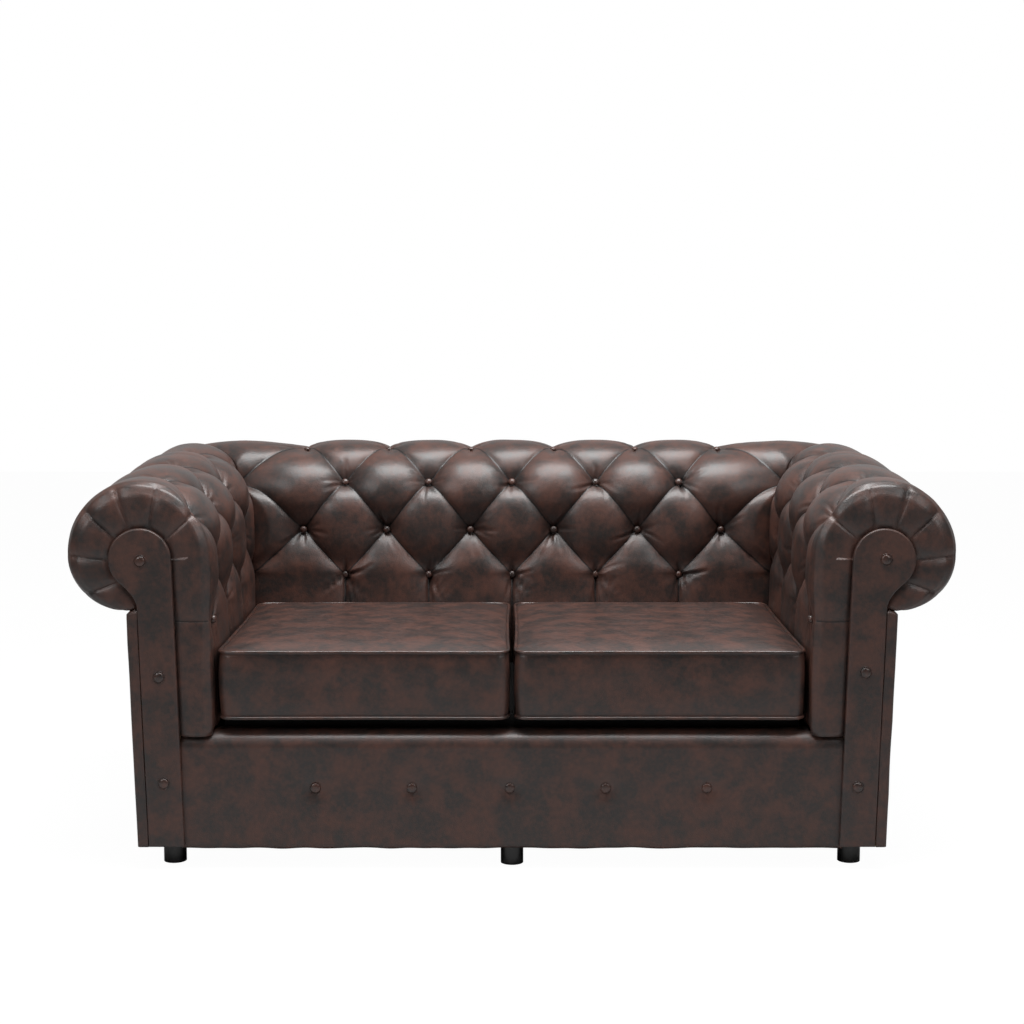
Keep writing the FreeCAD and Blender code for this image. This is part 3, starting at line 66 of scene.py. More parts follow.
# Camera: it stands 3.3 m in front of the arms, a little above the sofa, and looks down on it by
# about six degrees, with the horizon at the height that the seat's receding lines give.
camera_height = 1.0235
camera_distance = 3.3
camera_dip = math.radians(6.238)
camera_lens = 64.97
camera_data = bpy.data.cameras.new("camera")
camera_data.lens = camera_lens
camera = bpy.data.objects.new("camera", camera_data)
bpy.context.scene.collection.objects.link(camera)
camera.location = (0, cad_low.y - camera_distance, camera_height)
camera.rotation_euler = (math.radians(90) - camera_dip, 0, 0)
bpy.context.scene.camera = camera
bpy.context.scene.view_settings.view_transform = "Standard"

# Studio: one soft box overhead and two in front of the sofa, and a room that is dim behind the camera
# and paler behind the sofa. The floor is white to the camera and keeps the sofa's soft shadow.
room_sides = (-0.3, 0.9)
room_strengths = (0.04, 0.7)
floor_size = 16
floor_grey = (0.42, 0.42, 0.42, 1)
floor_glow = 1.05
floor_glow_share = 0.93


def soft_box(name, place, target, width, depth, power):
    """A rectangular soft light that faces a point."""
    data = bpy.data.lights.new(name, "AREA")
    data.shape = "RECTANGLE"
    data.size, data.size_y, data.energy = width, depth, power
    light = bpy.data.objects.new(name, data)
    bpy.context.scene.collection.objects.link(light)
    light.location = place
    light.rotation_euler = (Vector(target) - Vector(place)).to_track_quat("-Z", "Y").to_euler()


def set_inputs(tree, node, inputs):
    """Joins a shader node's inputs to outputs of other nodes, or sets them to values."""
    for name, value in inputs.items():
        if isinstance(value, bpy.types.NodeSocket):
            tree.links.new(value, node.inputs[name])
        else:
            node.inputs[name].default_value = value


def add_node(tree, kind, inputs=None, **settings):
    """A shader node with its settings and its inputs."""
    node = tree.nodes.new(kind)
    for name, value in settings.items():
        setattr(node, name, value)
    set_inputs(tree, node, inputs or {})
    return node


soft_box("overhead_box", (0.2, -0.5, 3.0), target=(0.1, 0.0, 0.5), width=2.6, depth=1.4, power=155)
soft_box("left_box", (-2.3, -2.3, 2.2), target=(0, 0, 0.4), width=1.4, depth=1.4, power=30)
soft_box("right_box", (2.3, -2.3, 2.2), target=(0, 0, 0.4), width=1.4, depth=1.4, power=24)

world = bpy.data.worlds.new("studio")
bpy.context.scene.world = world
world.use_nodes = True
tree = world.node_tree
tree.nodes.clear()
direction = add_node(tree, "ShaderNodeTexCoord")
axes = add_node(tree, "ShaderNodeSeparateXYZ", {0: direction.outputs["Generated"]})
behind_sofa = add_node(
    tree,
    "ShaderNodeMapRange",
    {
        "Value": axes.outputs["Y"],
        "From Min": room_sides[0],
        "From Max": room_sides[1],
        "To Min": room_strengths[0],
        "To Max": room_strengths[1],
    },
)
room = add_node(tree, "ShaderNodeBackground", {"Strength": behind_sofa.outputs[0]})
white = add_node(tree, "ShaderNodeBackground", {"Color": (1, 1, 1, 1)})
seen = add_node(tree, "ShaderNodeLightPath").outputs["Is Camera Ray"]
shown = add_node(tree, "ShaderNodeMixShader", {0: seen, 1: room.outputs[0], 2: white.outputs[0]})
add_node(tree, "ShaderNodeOutputWorld", {"Surface": shown.outputs[0]})

bpy.ops.mesh.primitive_plane_add(size=floor_size, location=(0, 0, 0))
floor = bpy.context.object
floor.name = "studio_floor"
paper = bpy.data.materials.new("floor_paper")
paper.use_nodes = True
tree = paper.node_tree
tree.nodes.clear()
lit = add_node(tree, "ShaderNodeBsdfDiffuse", {"Color": floor_grey})
glow = add_node(tree, "ShaderNodeEmission", {"Strength": floor_glow})
seen = add_node(tree, "ShaderNodeLightPath").outputs["Is Camera Ray"]
share = add_node(tree, "ShaderNodeMath", {0: seen, 1: floor_glow_share}, operation="MULTIPLY")
shown = add_node(tree, "ShaderNodeMixShader", {0: share.outputs[0], 1: lit.outputs[0], 2: glow.outputs[0]})
add_node(tree, "ShaderNodeOutputMaterial", {"Surface": shown.outputs[0]})
floor.data.materials.append(paper)

# Back cover: dark brown coated leather over wadding, pulled into diamonds by buttons sewn through to
# the frame. Pleats fold from button to button, and straight ones run over the roll to the tack line.
seat_half = 0.54
seat_depth = 0.59
roll = 0.135
lip = 0.104
pad_bottom = 0.249
arm_roll_height = 0.58
back_roll_height = 0.607
back_pitch = 0.178
row_pitch = 0.1
front_y = cad_low.y
seat_back_y = front_y + seat_depth
cells = 28

# A reach is measured up the pad's section from the start of the roll. Each row of buttons has one at
# the arms' fronts and one at the back.
roll_end = math.pi * roll
tack_reach = roll_end + math.radians(97) * lip
row_reach = {"lower": (-0.122, -0.145), "middle": (-0.035, -0.049), "upper": (0.088, 0.068)}
crest = 0.195
crest_row = 3
knot_rows = (-1.3, 0, 1, 2, crest_row, 7.2)
knot_cells = (0.9, 1, 1, 1, 3.2)

# How deep the leather is drawn in: pleats, hollows at the buttons, the straight pleats over the roll and
# below the lowest buttons, the mitre in the corner, and the edge that is turned in behind the cushions.
pleat_deep = 0.0085
dome_deep = 0.0085
hollow_deep, hollow_radius, hollow_edge = 0.02, 0.027, 1.25
roll_pleats_from, roll_pleats_blend = 2.35, 0.65
roll_pleat_deep, roll_pleat_run = 0.0135, 4.4
roll_pinch_deep, roll_pinch_run = 0.008, 0.3
seat_pleats_from = 0.45
seat_pleat_deep = 0.013
seat_pinch_deep, seat_pinch_run = 0.019, 0.22
mitre_from, mitre = 2.5, 3
mitre_deep, mitre_wide = 0.015, 0.09
hem = 0.016
fold_widths = (0.0036, 0.0056)
fold_bend = 4
fold_start, fold_rise, fold_fade = 0.003, 0.009, 0.8
fold_flare = (0.6, 0.9)
fold_rim = 1.4
wobble_size, wobble_deep, wobble_rise = 0.075, 0.0022, 0.6
calm_from, calm_blend = 2.7, 0.3

leather_brown = (0.072, 0.0285, 0.0195)
leather_smoke = (0.019, 0.0155, 0.0145)
cloud_limits = (0.36, 0.66)
speck_limits = (0.35, 0.68)
speck_share = 0.3
speck_scale = 110
pebble_scale = 620
crease_scale = 26
mottled_roughness = 0.1
leather_bump, leather_bump_deep = 0.5, 0.0012
leather_coat, coat_roughness = 0.16, 0.22
leather_specular = 0.48
# Painted shade of the quilted leather: the width and darkness of a dark line along each pleat, and the
# sinks between which the hollows at the buttons are painted darker.
pleat_line, pleat_line_shade = 0.021, 0.12
hollow_sinks, hollow_shade = (0.012, 0.037), 0.35


def surface_group(name, inputs, outputs):
    """A group of shader nodes with its named inputs and outputs, still empty."""
    group = bpy.data.node_groups.new(name, "ShaderNodeTree")
    for side, sockets in (("INPUT", inputs), ("OUTPUT", outputs)):
        for socket, kind in sockets.items():
            group.interface.new_socket(socket, in_out=side, socket_type=f"NodeSocket{kind}")
    return group


def stretch_place(group, place, stretch):
    """A place on the object, stretched along its axes."""
    return add_node(group, "ShaderNodeVectorMath", {0: place, 1: stretch}, operation="MULTIPLY").outputs[0]


def leather_group():
    """Coated leather: brown and grey-black mottling, a fine grain, and soft creases between, with its
    colour scaled down by any painted shade given to it.
    """
    inputs = {"Brown": "Color", "Smoke": "Color", "Mottle Scale": "Float", "Stretch": "Vector"}
    inputs |= {"Grain": "Float", "Creases": "Float", "Roughness": "Float"}
    inputs |= {"Shade": "Float", "Groove": "Float"}
    outputs = {"Color": "Color", "Roughness": "Float", "Height": "Float"}
    group = surface_group("leather_surface", inputs, outputs)
    given = add_node(group, "NodeGroupInput").outputs
    place = add_node(group, "ShaderNodeTexCoord").outputs["Object"]

    def mottle(values, limits):
        """A noise on the leather, its values between two limits spread over all from 0 to 1."""
        noisy = add_node(group, "ShaderNodeTexNoise", {"Vector": place, **values}).outputs["Fac"]
        values = {"Value": noisy, "From Min": limits[0], "From Max": limits[1]}
        return add_node(group, "ShaderNodeMapRange", values, interpolation_type="SMOOTHSTEP").outputs[0]

    def combine(operation, *values):
        """One value from two or three by a sum or a product."""
        inputs = dict(enumerate(values))
        return add_node(group, "ShaderNodeMath", inputs, operation=operation).outputs[0]

    cloudy = mottle({"Scale": given["Mottle Scale"], "Detail": 5, "Roughness": 0.62}, cloud_limits)
    speckled = mottle({"Scale": speck_scale, "Detail": 3, "Roughness": 0.6}, speck_limits)
    both = {"Factor": speck_share, 2: cloudy, 3: speckled}
    mottling = add_node(group, "ShaderNodeMix", both).outputs[0]
    tones = {"Factor": mottling, 6: given["Smoke"], 7: given["Brown"]}
    colour = add_node(group, "ShaderNodeMix", tones, data_type="RGBA").outputs[2]
    # Painted shade: the colour is scaled down wherever shade is painted in.
    shade = {0: colour, "Scale": given["Shade"]}
    shaded = add_node(group, "ShaderNodeVectorMath", shade, operation="SCALE").outputs[0]
    sheen = combine("MULTIPLY_ADD", mottling, mottled_roughness, given["Roughness"])
    pebbles = {"Vector": place, "Scale": pebble_scale}
    pebbled = add_node(group, "ShaderNodeTexVoronoi", pebbles, feature="SMOOTH_F1")
    grain = combine("MULTIPLY", pebbled.outputs["Distance"], given["Grain"])
    stretched = stretch_place(group, place, given["Stretch"])
    creases = {"Vector": stretched, "Scale": crease_scale, "Detail": 4}
    wrinkled = add_node(group, "ShaderNodeTexNoise", creases, noise_type="RIDGED_MULTIFRACTAL")
    creased = combine("MULTIPLY_ADD", wrinkled.outputs["Fac"], given["Creases"], grain)
    grooved = combine("ADD", creased, given["Groove"])
    add_node(group, "NodeGroupOutput", {"Color": shaded, "Roughness": sheen, "Height": grooved})
    return group


leather_surface = leather_group()


def leather(name, mottle=19, stretch=(1, 1, 1), grain=0.4, creases=0.12, roughness=0.4, lighter=1.0):
    """A leather with its own mottling, grain, creases and gloss."""
    material = bpy.data.materials.new(name)
    material.use_nodes = True
    tree = material.node_tree
    values = {
        "Brown": (*(tone * lighter for tone in leather_brown), 1),
        "Smoke": (*(tone * lighter for tone in leather_smoke), 1),
        "Mottle Scale": mottle,
        "Stretch": stretch,
        "Grain": grain,
        "Creases": creases,
        "Roughness": roughness,
        "Shade": 1,
    }
    surface = add_node(tree, "ShaderNodeGroup", values, node_tree=leather_surface).outputs
    relief = {"Strength": leather_bump, "Distance": leather_bump_deep, "Height": surface["Height"]}
    bump = add_node(tree, "ShaderNodeBump", relief)
    set_inputs(
        tree,
        tree.nodes["Principled BSDF"],
        {
            "Base Color": surface["Color"],
            "Roughness": surface["Roughness"],
            "Normal": bump.outputs["Normal"],
            "Coat Weight": leather_coat,
            "Coat Roughness": coat_roughness,
            "Specular IOR Level": leather_specular,
        },
    )
    return material


def paint_pleat_shade(material):
    """Paints shade into a quilted leather: its colour is darker in its pleats and deep places, where shade
    falls, after the lattice kept on its points. It also grooves the pleat lines in the bump.
    """
    tree = material.node_tree
    lattice = add_node(tree, "ShaderNodeAttribute", attribute_name="pleats")
    parts = add_node(tree, "ShaderNodeSeparateXYZ", {0: lattice.outputs["Vector"]}).outputs
    near = add_node(tree, "ShaderNodeMath", operation="MINIMUM")
    for number, axis in enumerate("XY"):
        away = add_node(tree, "ShaderNodeMath", {0: parts[axis], 1: 0.5}, operation="PINGPONG")
        set_inputs(tree, near, {number: away.outputs[0]})
    # Painted shade along the pleat lines, which also grooves them in the bump.
    line = add_node(
        tree,
        "ShaderNodeMapRange",
        {"Value": near.outputs[0], "From Max": pleat_line, "To Min": pleat_line_shade},
        interpolation_type="SMOOTHSTEP",
    )
    # Painted shade in the deep hollows round the buttons, darker the deeper the leather sinks.
    hollow = add_node(
        tree,
        "ShaderNodeMapRange",
        {
            "Value": parts["Z"],
            "From Min": hollow_sinks[0],
            "From Max": hollow_sinks[1],
            "To Min": 1.0,
            "To Max": hollow_shade,
        },
    )
    factors = {0: line.outputs[0], 1: hollow.outputs[0]}
    shade = add_node(tree, "ShaderNodeMath", factors, operation="MULTIPLY").outputs[0]
    set_inputs(tree, tree.nodes["Group"], {"Shade": shade, "Groove": line.outputs[0]})


cover_leather = leather("quilted_leather")
# The quilted leather gets painted shade in its pleats and in the hollows round the buttons.
paint_pleat_shade(cover_leather)


def smooth_step(amount):
    """Nothing below 0, all above 1, and an even rise between."""
    amount = np.clip(amount, 0, 1)
    return amount * amount * (3 - 2 * amount)


def puff(share, flatness=2.7, steepness=0.52):
    """How full the padding stands between two pleats: nothing in a pleat, all half way across."""
    return np.clip(1 - np.abs(2 * share - 1) ** flatness, 0, 1) ** steepness


def fraction(amount):
    """How far a place is past the last whole number."""
    return amount - np.floor(amount + 1e-9)


def section(reach, middle, sink):
    """A pad's section: how far out and how high a point is, reach along the crown line from the
    start of the roll, sink below it."""
    turn = reach / roll
    under = (reach - roll_end) / lip
    flat = (sink, middle + reach)
    over = (roll - (roll - sink) * np.cos(turn), middle + (roll - sink) * np.sin(turn))
    below = (
        2 * roll - lip + (lip - sink) * np.cos(under),
        middle - (lip - sink) * np.sin(under),
    )
    return tuple(
        np.where(reach <= 0, flat[i], np.where(reach <= roll_end, over[i], below[i])) for i in (0, 1)
    )


def row_levels(middle, share):
    """Reaches of all rows of the mesh at each column, and the rows' numbers in button rows."""
    knots = [np.full_like(share, pad_bottom) - middle]
    knots += [front + (back - front) * share for front, back in row_reach.values()]
    knots += [np.full_like(share, crest), np.full_like(share, tack_reach)]
    reaches, numbers = [], []
    for span, length in enumerate(knot_cells):
        count = round(cells * length)
        last = span == len(knot_cells) - 1
        for step in range(count + last):
            part = step / count
            reaches.append(knots[span] + (knots[span + 1] - knots[span]) * part)
            numbers.append(knot_rows[span] + (knot_rows[span + 1] - knot_rows[span]) * part)
    return np.array(reaches).T, np.array(numbers)


def quilting(across, rows, fade):
    """The sink of the leather: across counts buttons along the pad, rows counts button rows."""
    first = fraction(across + rows / 2)
    second = fraction(rows / 2 - across)
    crease = 1 - puff(first) * puff(second)
    dome = 1 - (1 - (2 * first - 1) ** 2) * (1 - (2 * second - 1) ** 2)
    from_first, from_second = first - np.rint(first), second - np.rint(second)
    sideways = (from_first - from_second) / 2 * back_pitch
    upwards = (from_first + from_second) * row_pitch
    hollow = np.exp(-((np.hypot(sideways, upwards) / hollow_radius) ** hollow_edge))
    diamond = pleat_deep * crease + dome_deep * dome + hollow_deep * hollow
    over_roll = puff(fraction(across - 0.5), flatness=2.6, steepness=0.85)
    under_seat = puff(fraction(across))
    top = smooth_step((rows - roll_pleats_from) / roll_pleats_blend)
    low = smooth_step((seat_pleats_from - rows) / seat_pleats_from)
    roll_deep = roll_pleat_deep * (1 - smooth_step((rows - crest_row) / roll_pleat_run))
    roll_deep += roll_pinch_deep * np.exp(-np.abs(rows - crest_row) / roll_pinch_run)
    seat_deep = seat_pleat_deep + seat_pinch_deep * np.exp(-np.abs(rows) / seat_pinch_run)
    sink = diamond * (1 - top) * (1 - low) + roll_deep * (1 - over_roll) * top
    return (sink + seat_deep * (1 - under_seat) * low) * fade


def valley(deep, aside, wide, rim):
    """A small fold across its length: deep on its line, with a low ridge along each side."""
    return deep * (1 - rim * (aside / wide) ** 2) * np.exp(-((aside / wide) ** 2))


def folds(spots, along, reach, seed, count, lengths, depths, spread=None):
    """Small folds that run out from the buttons, each with its own turn, length and depth."""
    dice = random.Random(seed)
    total = np.zeros_like(along)
    for spot_along, spot_reach in spots:
        for _ in range(count):
            turn = dice.uniform(0, 2 * math.pi) if spread is None else dice.gauss(*spread)
            length = dice.uniform(*lengths)
            depth = dice.uniform(*depths)
            width = dice.uniform(*fold_widths)
            bend = dice.uniform(-fold_bend, fold_bend)
            right, up = along - spot_along, reach - spot_reach
            forward = right * math.cos(turn) + up * math.sin(turn)
            aside = -right * math.sin(turn) + up * math.cos(turn) + bend * forward**2
            part = np.clip(forward / length, 0, 1)
            wide = width * (fold_flare[0] + fold_flare[1] * part)
            deep = depth * (smooth_step((forward - fold_start) / fold_rise) * (1 - part) ** fold_fade)
            total += valley(deep, aside, wide, fold_rim)
    return total


def mitre_share(across):
    """How far a place is on the way from the last button to the mitre."""
    return np.clip((across - mitre_from) / (mitre - mitre_from), 0, 1)


def turned_in(reach):
    """How much of the pad's bottom edge is turned in, from its first row upwards."""
    return hem * smooth_step((hem - (reach - reach[:, :1])) / hem)


def lattice_places(across, rows, sink):
    """What the leather's painted shade and pleat grooves read on each point: its place between the pleats,
    both ways, and its sink.
    """
    rows = np.clip(rows, 0, crest_row)
    return np.stack([across + rows / 2, rows / 2 - across, sink], axis=-1)


def uneven(points, size, amount):
    """A slow unevenness of the padding, one number for each point."""
    flat = points.reshape(-1, 3)
    found = [noise.noise(Vector(point) / size) for point in flat]
    return amount * np.array(found).reshape(points.shape[:-1])


def leather_grid(name, points, material, thickness=0.003, lattice=None):
    """A leather surface through rows and columns of points, turned outwards and given its thickness."""
    columns, rows = points.shape[:2]
    bpy.ops.mesh.primitive_grid_add(x_subdivisions=columns - 1, y_subdivisions=rows - 1, size=1)
    piece = bpy.context.object
    piece.name = name
    places = np.zeros(len(piece.data.vertices) * 3)
    piece.data.vertices.foreach_get("co", places)
    places = places.reshape(-1, 3)
    column = np.rint((places[:, 0] + 0.5) * (columns - 1)).astype(int)
    row = np.rint((places[:, 1] + 0.5) * (rows - 1)).astype(int)
    piece.data.vertices.foreach_set("co", points[column, row].ravel())
    piece.data.update()
    if lattice is not None:
        kept = piece.data.attributes.new("pleats", "FLOAT_VECTOR", "POINT")
        kept.data.foreach_set("vector", lattice[column, row].ravel())
    piece.data.materials.append(material)
    bpy.ops.object.shade_smooth()
    wall = piece.modifiers.new("thickness", "SOLIDIFY")
    wall.thickness = thickness
    wall.offset = -1
    bpy.ops.object.modifier_apply(modifier=wall.name)
    bpy.ops.object.select_all(action="DESELECT")
    return piece


def back_row(offset, reach):
    """The buttons of one row of the back, from left to right: how far along and their reach."""
    return [((number + offset) * back_pitch, reach) for number in range(-3 if offset else -2, 3)]


back_steps = np.linspace(-mitre, mitre, 4 * mitre * cells + 1)
back_reach, row_numbers = row_levels(back_roll_height, np.ones_like(back_steps))
across = np.repeat(back_steps[:, None], len(row_numbers), axis=1)
rows = np.repeat(row_numbers[None, :], len(back_steps), axis=0)
back_sink = quilting(across, rows, 1.0)
back_sink = np.maximum(back_sink, mitre_deep * np.exp(-(mitre - np.abs(across)) / mitre_wide))
lower, middle, upper = (reaches[1] for reaches in row_reach.values())
for buttons, seed, count, lengths, depths, spread in (
    (back_row(0, lower), 3, 12, (0.035, 0.075), (0.003, 0.006), (-0.75, 0.85)),
    (back_row(0.5, middle), 5, 10, (0.03, 0.065), (0.002, 0.0045), None),
    (back_row(0, upper), 8, 10, (0.03, 0.065), (0.002, 0.0045), None),
    (back_row(0.5, crest), 13, 10, (0.025, 0.055), (0.0015, 0.004), None),
):
    back_sink += folds(buttons, across * back_pitch, back_reach, seed, count, lengths, depths, spread)
back_sink += turned_in(back_reach)
back_out, back_height = section(back_reach, back_roll_height, back_sink)
inner_x = np.minimum(np.abs(across), mitre_from) * back_pitch
outer_span = seat_half + back_out - mitre_from * back_pitch
back_x = np.sign(across) * (inner_x + mitre_share(np.abs(across)) * outer_span)
back_points = np.stack([back_x, seat_back_y + back_out, back_height], axis=-1)
calm = smooth_step((np.abs(across) - calm_from) / calm_blend)
wobble = uneven(back_points, wobble_size, wobble_deep) * (1 - calm)
back_points[..., 1] += wobble
back_points[..., 2] += wobble * wobble_rise
back_lattice = lattice_places(across, rows, back_sink)
back_cover = leather_grid("back_quilting", back_points, cover_leather, lattice=back_lattice)
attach(back_cover, "frame")
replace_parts(back_cover, "back_tufted_cover")

# Arm covers: the same leather and diamonds on the arms. In front the leather is drawn round the edge
# of the arm in radial pleats and fastened under the facing board.
arm_pitch = 0.186
first_column = 0.05
front_fades = {"lower": 0.45, "upper": 0.83}
arm_fold_lengths, arm_fold_depths = (0.03, 0.065), (0.0018, 0.0042)
rim_columns = 26
facing_head = (0.673, 0.575)
facing_radius = 0.057
facing_foot = 0.043
facing_lean = 0.015
facing_width = 0.066
facing_neck = 0.484
neck_turn = math.radians(50)

# The rim's pleats, by their turn over the roll and under it. They fade out towards the first buttons,
# and the leather keeps to its lines near the facing and in the corner.
rim_pleats = [math.radians(turn) * roll for turn in (37, 76, 109, 140, 180)]
rim_pleats += [roll_end + math.radians(turn) * lip for turn in (45, 92)]
rim_pleat_deep = 0.0085
first_rim_pleat, seat_rim_pleat = 0.55, 0.3
rim_pleat_from, rim_pleat_blend = 0.12, 0.4
rim_line_from, rim_line_blend = 0.25, 0.2
button_pull = 0.3
below_rows, past_tacks = 0.05, 0.1
middle_ease_from, middle_ease = 2.0, 0.5
fade_columns = 0.5
calm_front, calm_rear, calm_rear_blend = 0.06, 0.9, 0.1

# The rim's section, from the first buttons forwards to the facing's edge: how far along it a place is,
# how far inwards it stands, how far behind the front, its lean, and the furthest back it may sink.
rim_parts = (0, 0.2, 0.4, 0.58, 0.72, 0.86, 0.94, 1.0)
rim_inward = (0, 0.015, 0.1, 0.3, 0.55, 0.86, 0.995, 1.04)
rim_depths = (0.05, 0.033, 0.0185, 0.0095, 0.0075, 0.0095, 0.0138, 0.0156)
rim_lean = (0, 0.12, 0.5, 0.9, 1, 1, 1, 1)
rim_deepest = (1, 1, 1, 1, 0.0156, 0.0152, 0.0153, 0.0156)


def facing_inner(height):
    """The facing's inner edge at a height, leaning inwards to its foot."""
    drop = (facing_head[1] - height) / (facing_head[1] - facing_foot)
    return facing_head[0] - facing_radius - facing_lean * drop


def facing_neck_line(part):
    """A place on the curve from the facing's round head to its strip, part of the way down."""
    start_x = facing_head[0] - facing_radius * math.cos(math.pi + neck_turn)
    start_z = facing_head[1] + facing_radius * math.sin(math.pi + neck_turn)
    end_x = facing_inner(facing_neck) + facing_width
    pole_z = start_z - (start_x - end_x) * math.tan(math.pi / 2 - neck_turn)
    x = (1 - part) ** 2 * start_x + (1 - (1 - part) ** 2) * end_x
    z = (1 - part) ** 2 * start_z + 2 * part * (1 - part) * pole_z + part**2 * facing_neck
    return x, z


def facing_edge(reach, height):
    """Where the leather of the front rim goes under the facing."""
    turn = np.clip(reach / roll, 0, math.pi)
    turn = turn + np.clip((reach - roll_end) / lip, 0, neck_turn)
    x = np.where(reach <= 0, facing_inner(height), facing_head[0] - facing_radius * np.cos(turn))
    z = np.where(reach <= 0, height, facing_head[1] + facing_radius * np.sin(turn))
    part = np.clip(((reach - roll_end) / lip - neck_turn) / (math.pi / 2 - neck_turn), 0, 1)
    neck_x, neck_z = facing_neck_line(part)
    below = reach > roll_end + neck_turn * lip
    return np.where(below, neck_x, x), np.where(below, neck_z, z)


def arm_middle(depth):
    """The height of the arm roll's middle, which climbs to that of the back roll."""
    climb = back_roll_height - arm_roll_height
    return arm_roll_height + climb * np.clip(depth / seat_depth, 0, 1)


def arm_rim(reach, middle, first_sink):
    """The front rim, from under the facing's edge back to the first buttons, and where its pleats are."""
    crown_out, crown_height = section(reach, middle, 0 * reach)
    crown_x = seat_half + crown_out
    edge_x, edge_z = facing_edge(reach, crown_height)
    turn = np.clip(reach / roll, 0, math.pi) + np.clip((reach - roll_end) / lip, 0, 2)
    lowest = row_reach["lower"][0]
    pleats = np.array(rim_pleats)
    place = np.clip(np.searchsorted(pleats, reach, side="right"), 0, len(pleats))
    start = np.concatenate([[lowest], pleats])[place]
    start = np.where(reach < lowest, reach[0] - below_rows, start)
    end = np.concatenate([pleats, [tack_reach + past_tacks]])[place]
    end = np.where(reach < lowest, lowest, end)
    pleat_share = np.clip((reach - start) / (end - start), 0, 1)
    shallow = np.where((reach > lowest) & (reach < pleats[0]), first_rim_pleat, 1.0)
    shallow = np.where(reach <= lowest, seat_rim_pleat, shallow)
    rim, lattice = [], []
    for column in range(rim_columns + 1):
        part = 1 - column / rim_columns
        share = np.interp(part, rim_parts, rim_inward)
        depth = np.interp(part, rim_parts, rim_depths)
        lean = np.interp(part, rim_parts, np.array(rim_lean) * math.pi / 2)
        deepest = np.interp(part, rim_parts, rim_deepest)
        strength = rim_pleat_deep * smooth_step((part - rim_pleat_from) / rim_pleat_blend)
        sink = first_sink * math.exp(-((part / button_pull) ** 2))
        sink = sink + strength * shallow * (1 - puff(pleat_share))
        back_out = np.where(reach <= 0, -math.cos(lean), -np.cos(turn) * math.cos(lean))
        x = crown_x + (edge_x - crown_x) * share - sink * back_out
        up = np.where(reach <= 0, 0, np.sin(turn)) * math.cos(lean)
        z = crown_height + (edge_z - crown_height) * share - sink * up
        y = front_y + np.minimum(depth + sink * math.sin(lean), deepest)
        rim.append(np.stack([x, y, z], axis=-1))
        # Where the rim's pleats lie, for the painted shade and grooves along them.
        line = 0.5 + (pleat_share - 0.5) * smooth_step((part - rim_line_from) / rim_line_blend)
        lattice.append(np.stack([line, 0 * line + 0.5, sink], axis=-1))
    return np.array(rim), np.array(lattice)


def arm_quilting(side, seed):
    """The points of one arm's leather, from under the facing, over the rim and back to the mitre."""
    steps = np.linspace(0, mitre, 2 * mitre * cells + 1)
    depth = first_column + np.minimum(steps, mitre_from) * arm_pitch
    share = np.clip((depth - first_column) / (seat_depth - first_column), 0, 1)
    share = share + (1 - share) * mitre_share(steps)
    ease = np.clip((steps - middle_ease_from) / middle_ease, 0, 1)
    middle = arm_middle(depth) * (1 - ease) + back_roll_height * ease
    reach, numbers = row_levels(middle, share)
    across = np.repeat(steps[:, None], len(numbers), axis=1)
    rows = np.repeat(numbers[None, :], len(steps), axis=0)
    low_fade, high_fade = front_fades.values()
    front_rows = low_fade + (high_fade - low_fade) * np.clip(rows / 2, 0, 1)
    fade = front_rows + (1 - front_rows) * smooth_step(across / fade_columns)
    sink = quilting(across, rows, fade)
    sink = np.maximum(sink, mitre_deep * np.exp(-(mitre - across) / mitre_wide))
    buttons = []
    for level, (start, end) in row_reach.items():
        for number in range(3):
            place = number + (0.5 if level == "middle" else 0)
            part = np.clip(place * arm_pitch / (seat_depth - first_column), 0, 1)
            buttons.append((place * arm_pitch, start + (end - start) * part))
    buttons += [((number + 0.5) * arm_pitch, crest) for number in range(3)]
    sink += folds(buttons, across * arm_pitch, reach, seed, 10, arm_fold_lengths, arm_fold_depths)
    sink += turned_in(reach)
    out, height = section(reach, middle[:, None], sink)
    deep = first_column + np.minimum(across, mitre_from) * arm_pitch
    deep = deep + mitre_share(across) * (seat_depth + out - (first_column + mitre_from * arm_pitch))
    points = np.stack([seat_half + out, front_y + deep, height], axis=-1)
    rim, rim_lattice = arm_rim(reach[0], middle[0], sink[0])
    points = np.concatenate([rim, points[1:]])
    lattice = np.concatenate([rim_lattice, lattice_places(across, rows, sink)[1:]])
    wobble = uneven(points + np.array((0, 0, seed)), wobble_size, wobble_deep)
    columns = np.linspace(0, 1, len(points))[:, None]
    wobble *= 1 - smooth_step((columns - calm_rear) / calm_rear_blend)
    wobble *= smooth_step(columns / calm_front)
    points[..., 0] += wobble
    points[..., 2] += wobble * wobble_rise
    points[..., 0] *= side
    return (points, lattice) if side < 0 else (points[::-1], lattice[::-1])


for name, side, seed in (("left", -1, 21), ("right", 1, 34)):
    arm_points, arm_lattice = arm_quilting(side, seed)
    arm_cover = leather_grid(f"arm_quilting_{name}", arm_points, cover_leather, lattice=arm_lattice)
    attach(arm_cover, "frame")
    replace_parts(arm_cover, f"arm_tufted_cover_{name}")

# Tufting buttons: small domed buttons covered in the same leather, drawn deep into the pads on twine
# that is tied to the frame. They shine because the leather is stretched over them.
button_radius = 0.0075
button_dome = 0.0052
button_stand = 0.0095
button_rows = [("lower", 0.0, 0.032), ("middle", 0.5, 0.037), ("upper", 0.0, 0.037), ("crest", 0.5, 0.0275)]
button_reach = row_reach | {"crest": (crest, crest)}
corner_ease = 0.006
front_button_turn = 0.7
button_leather = leather("button_leather", mottle=40, grain=0.1, creases=0.0, roughness=0.26, lighter=1.1)


def pad_spot(reach, middle, sink):
    """A place on a pad's section: out, height and the turn of its outward direction."""
    out, height = section(np.array(reach), middle, sink)
    turn = min(max(reach / roll, 0), math.pi)
    return float(out), float(height), turn


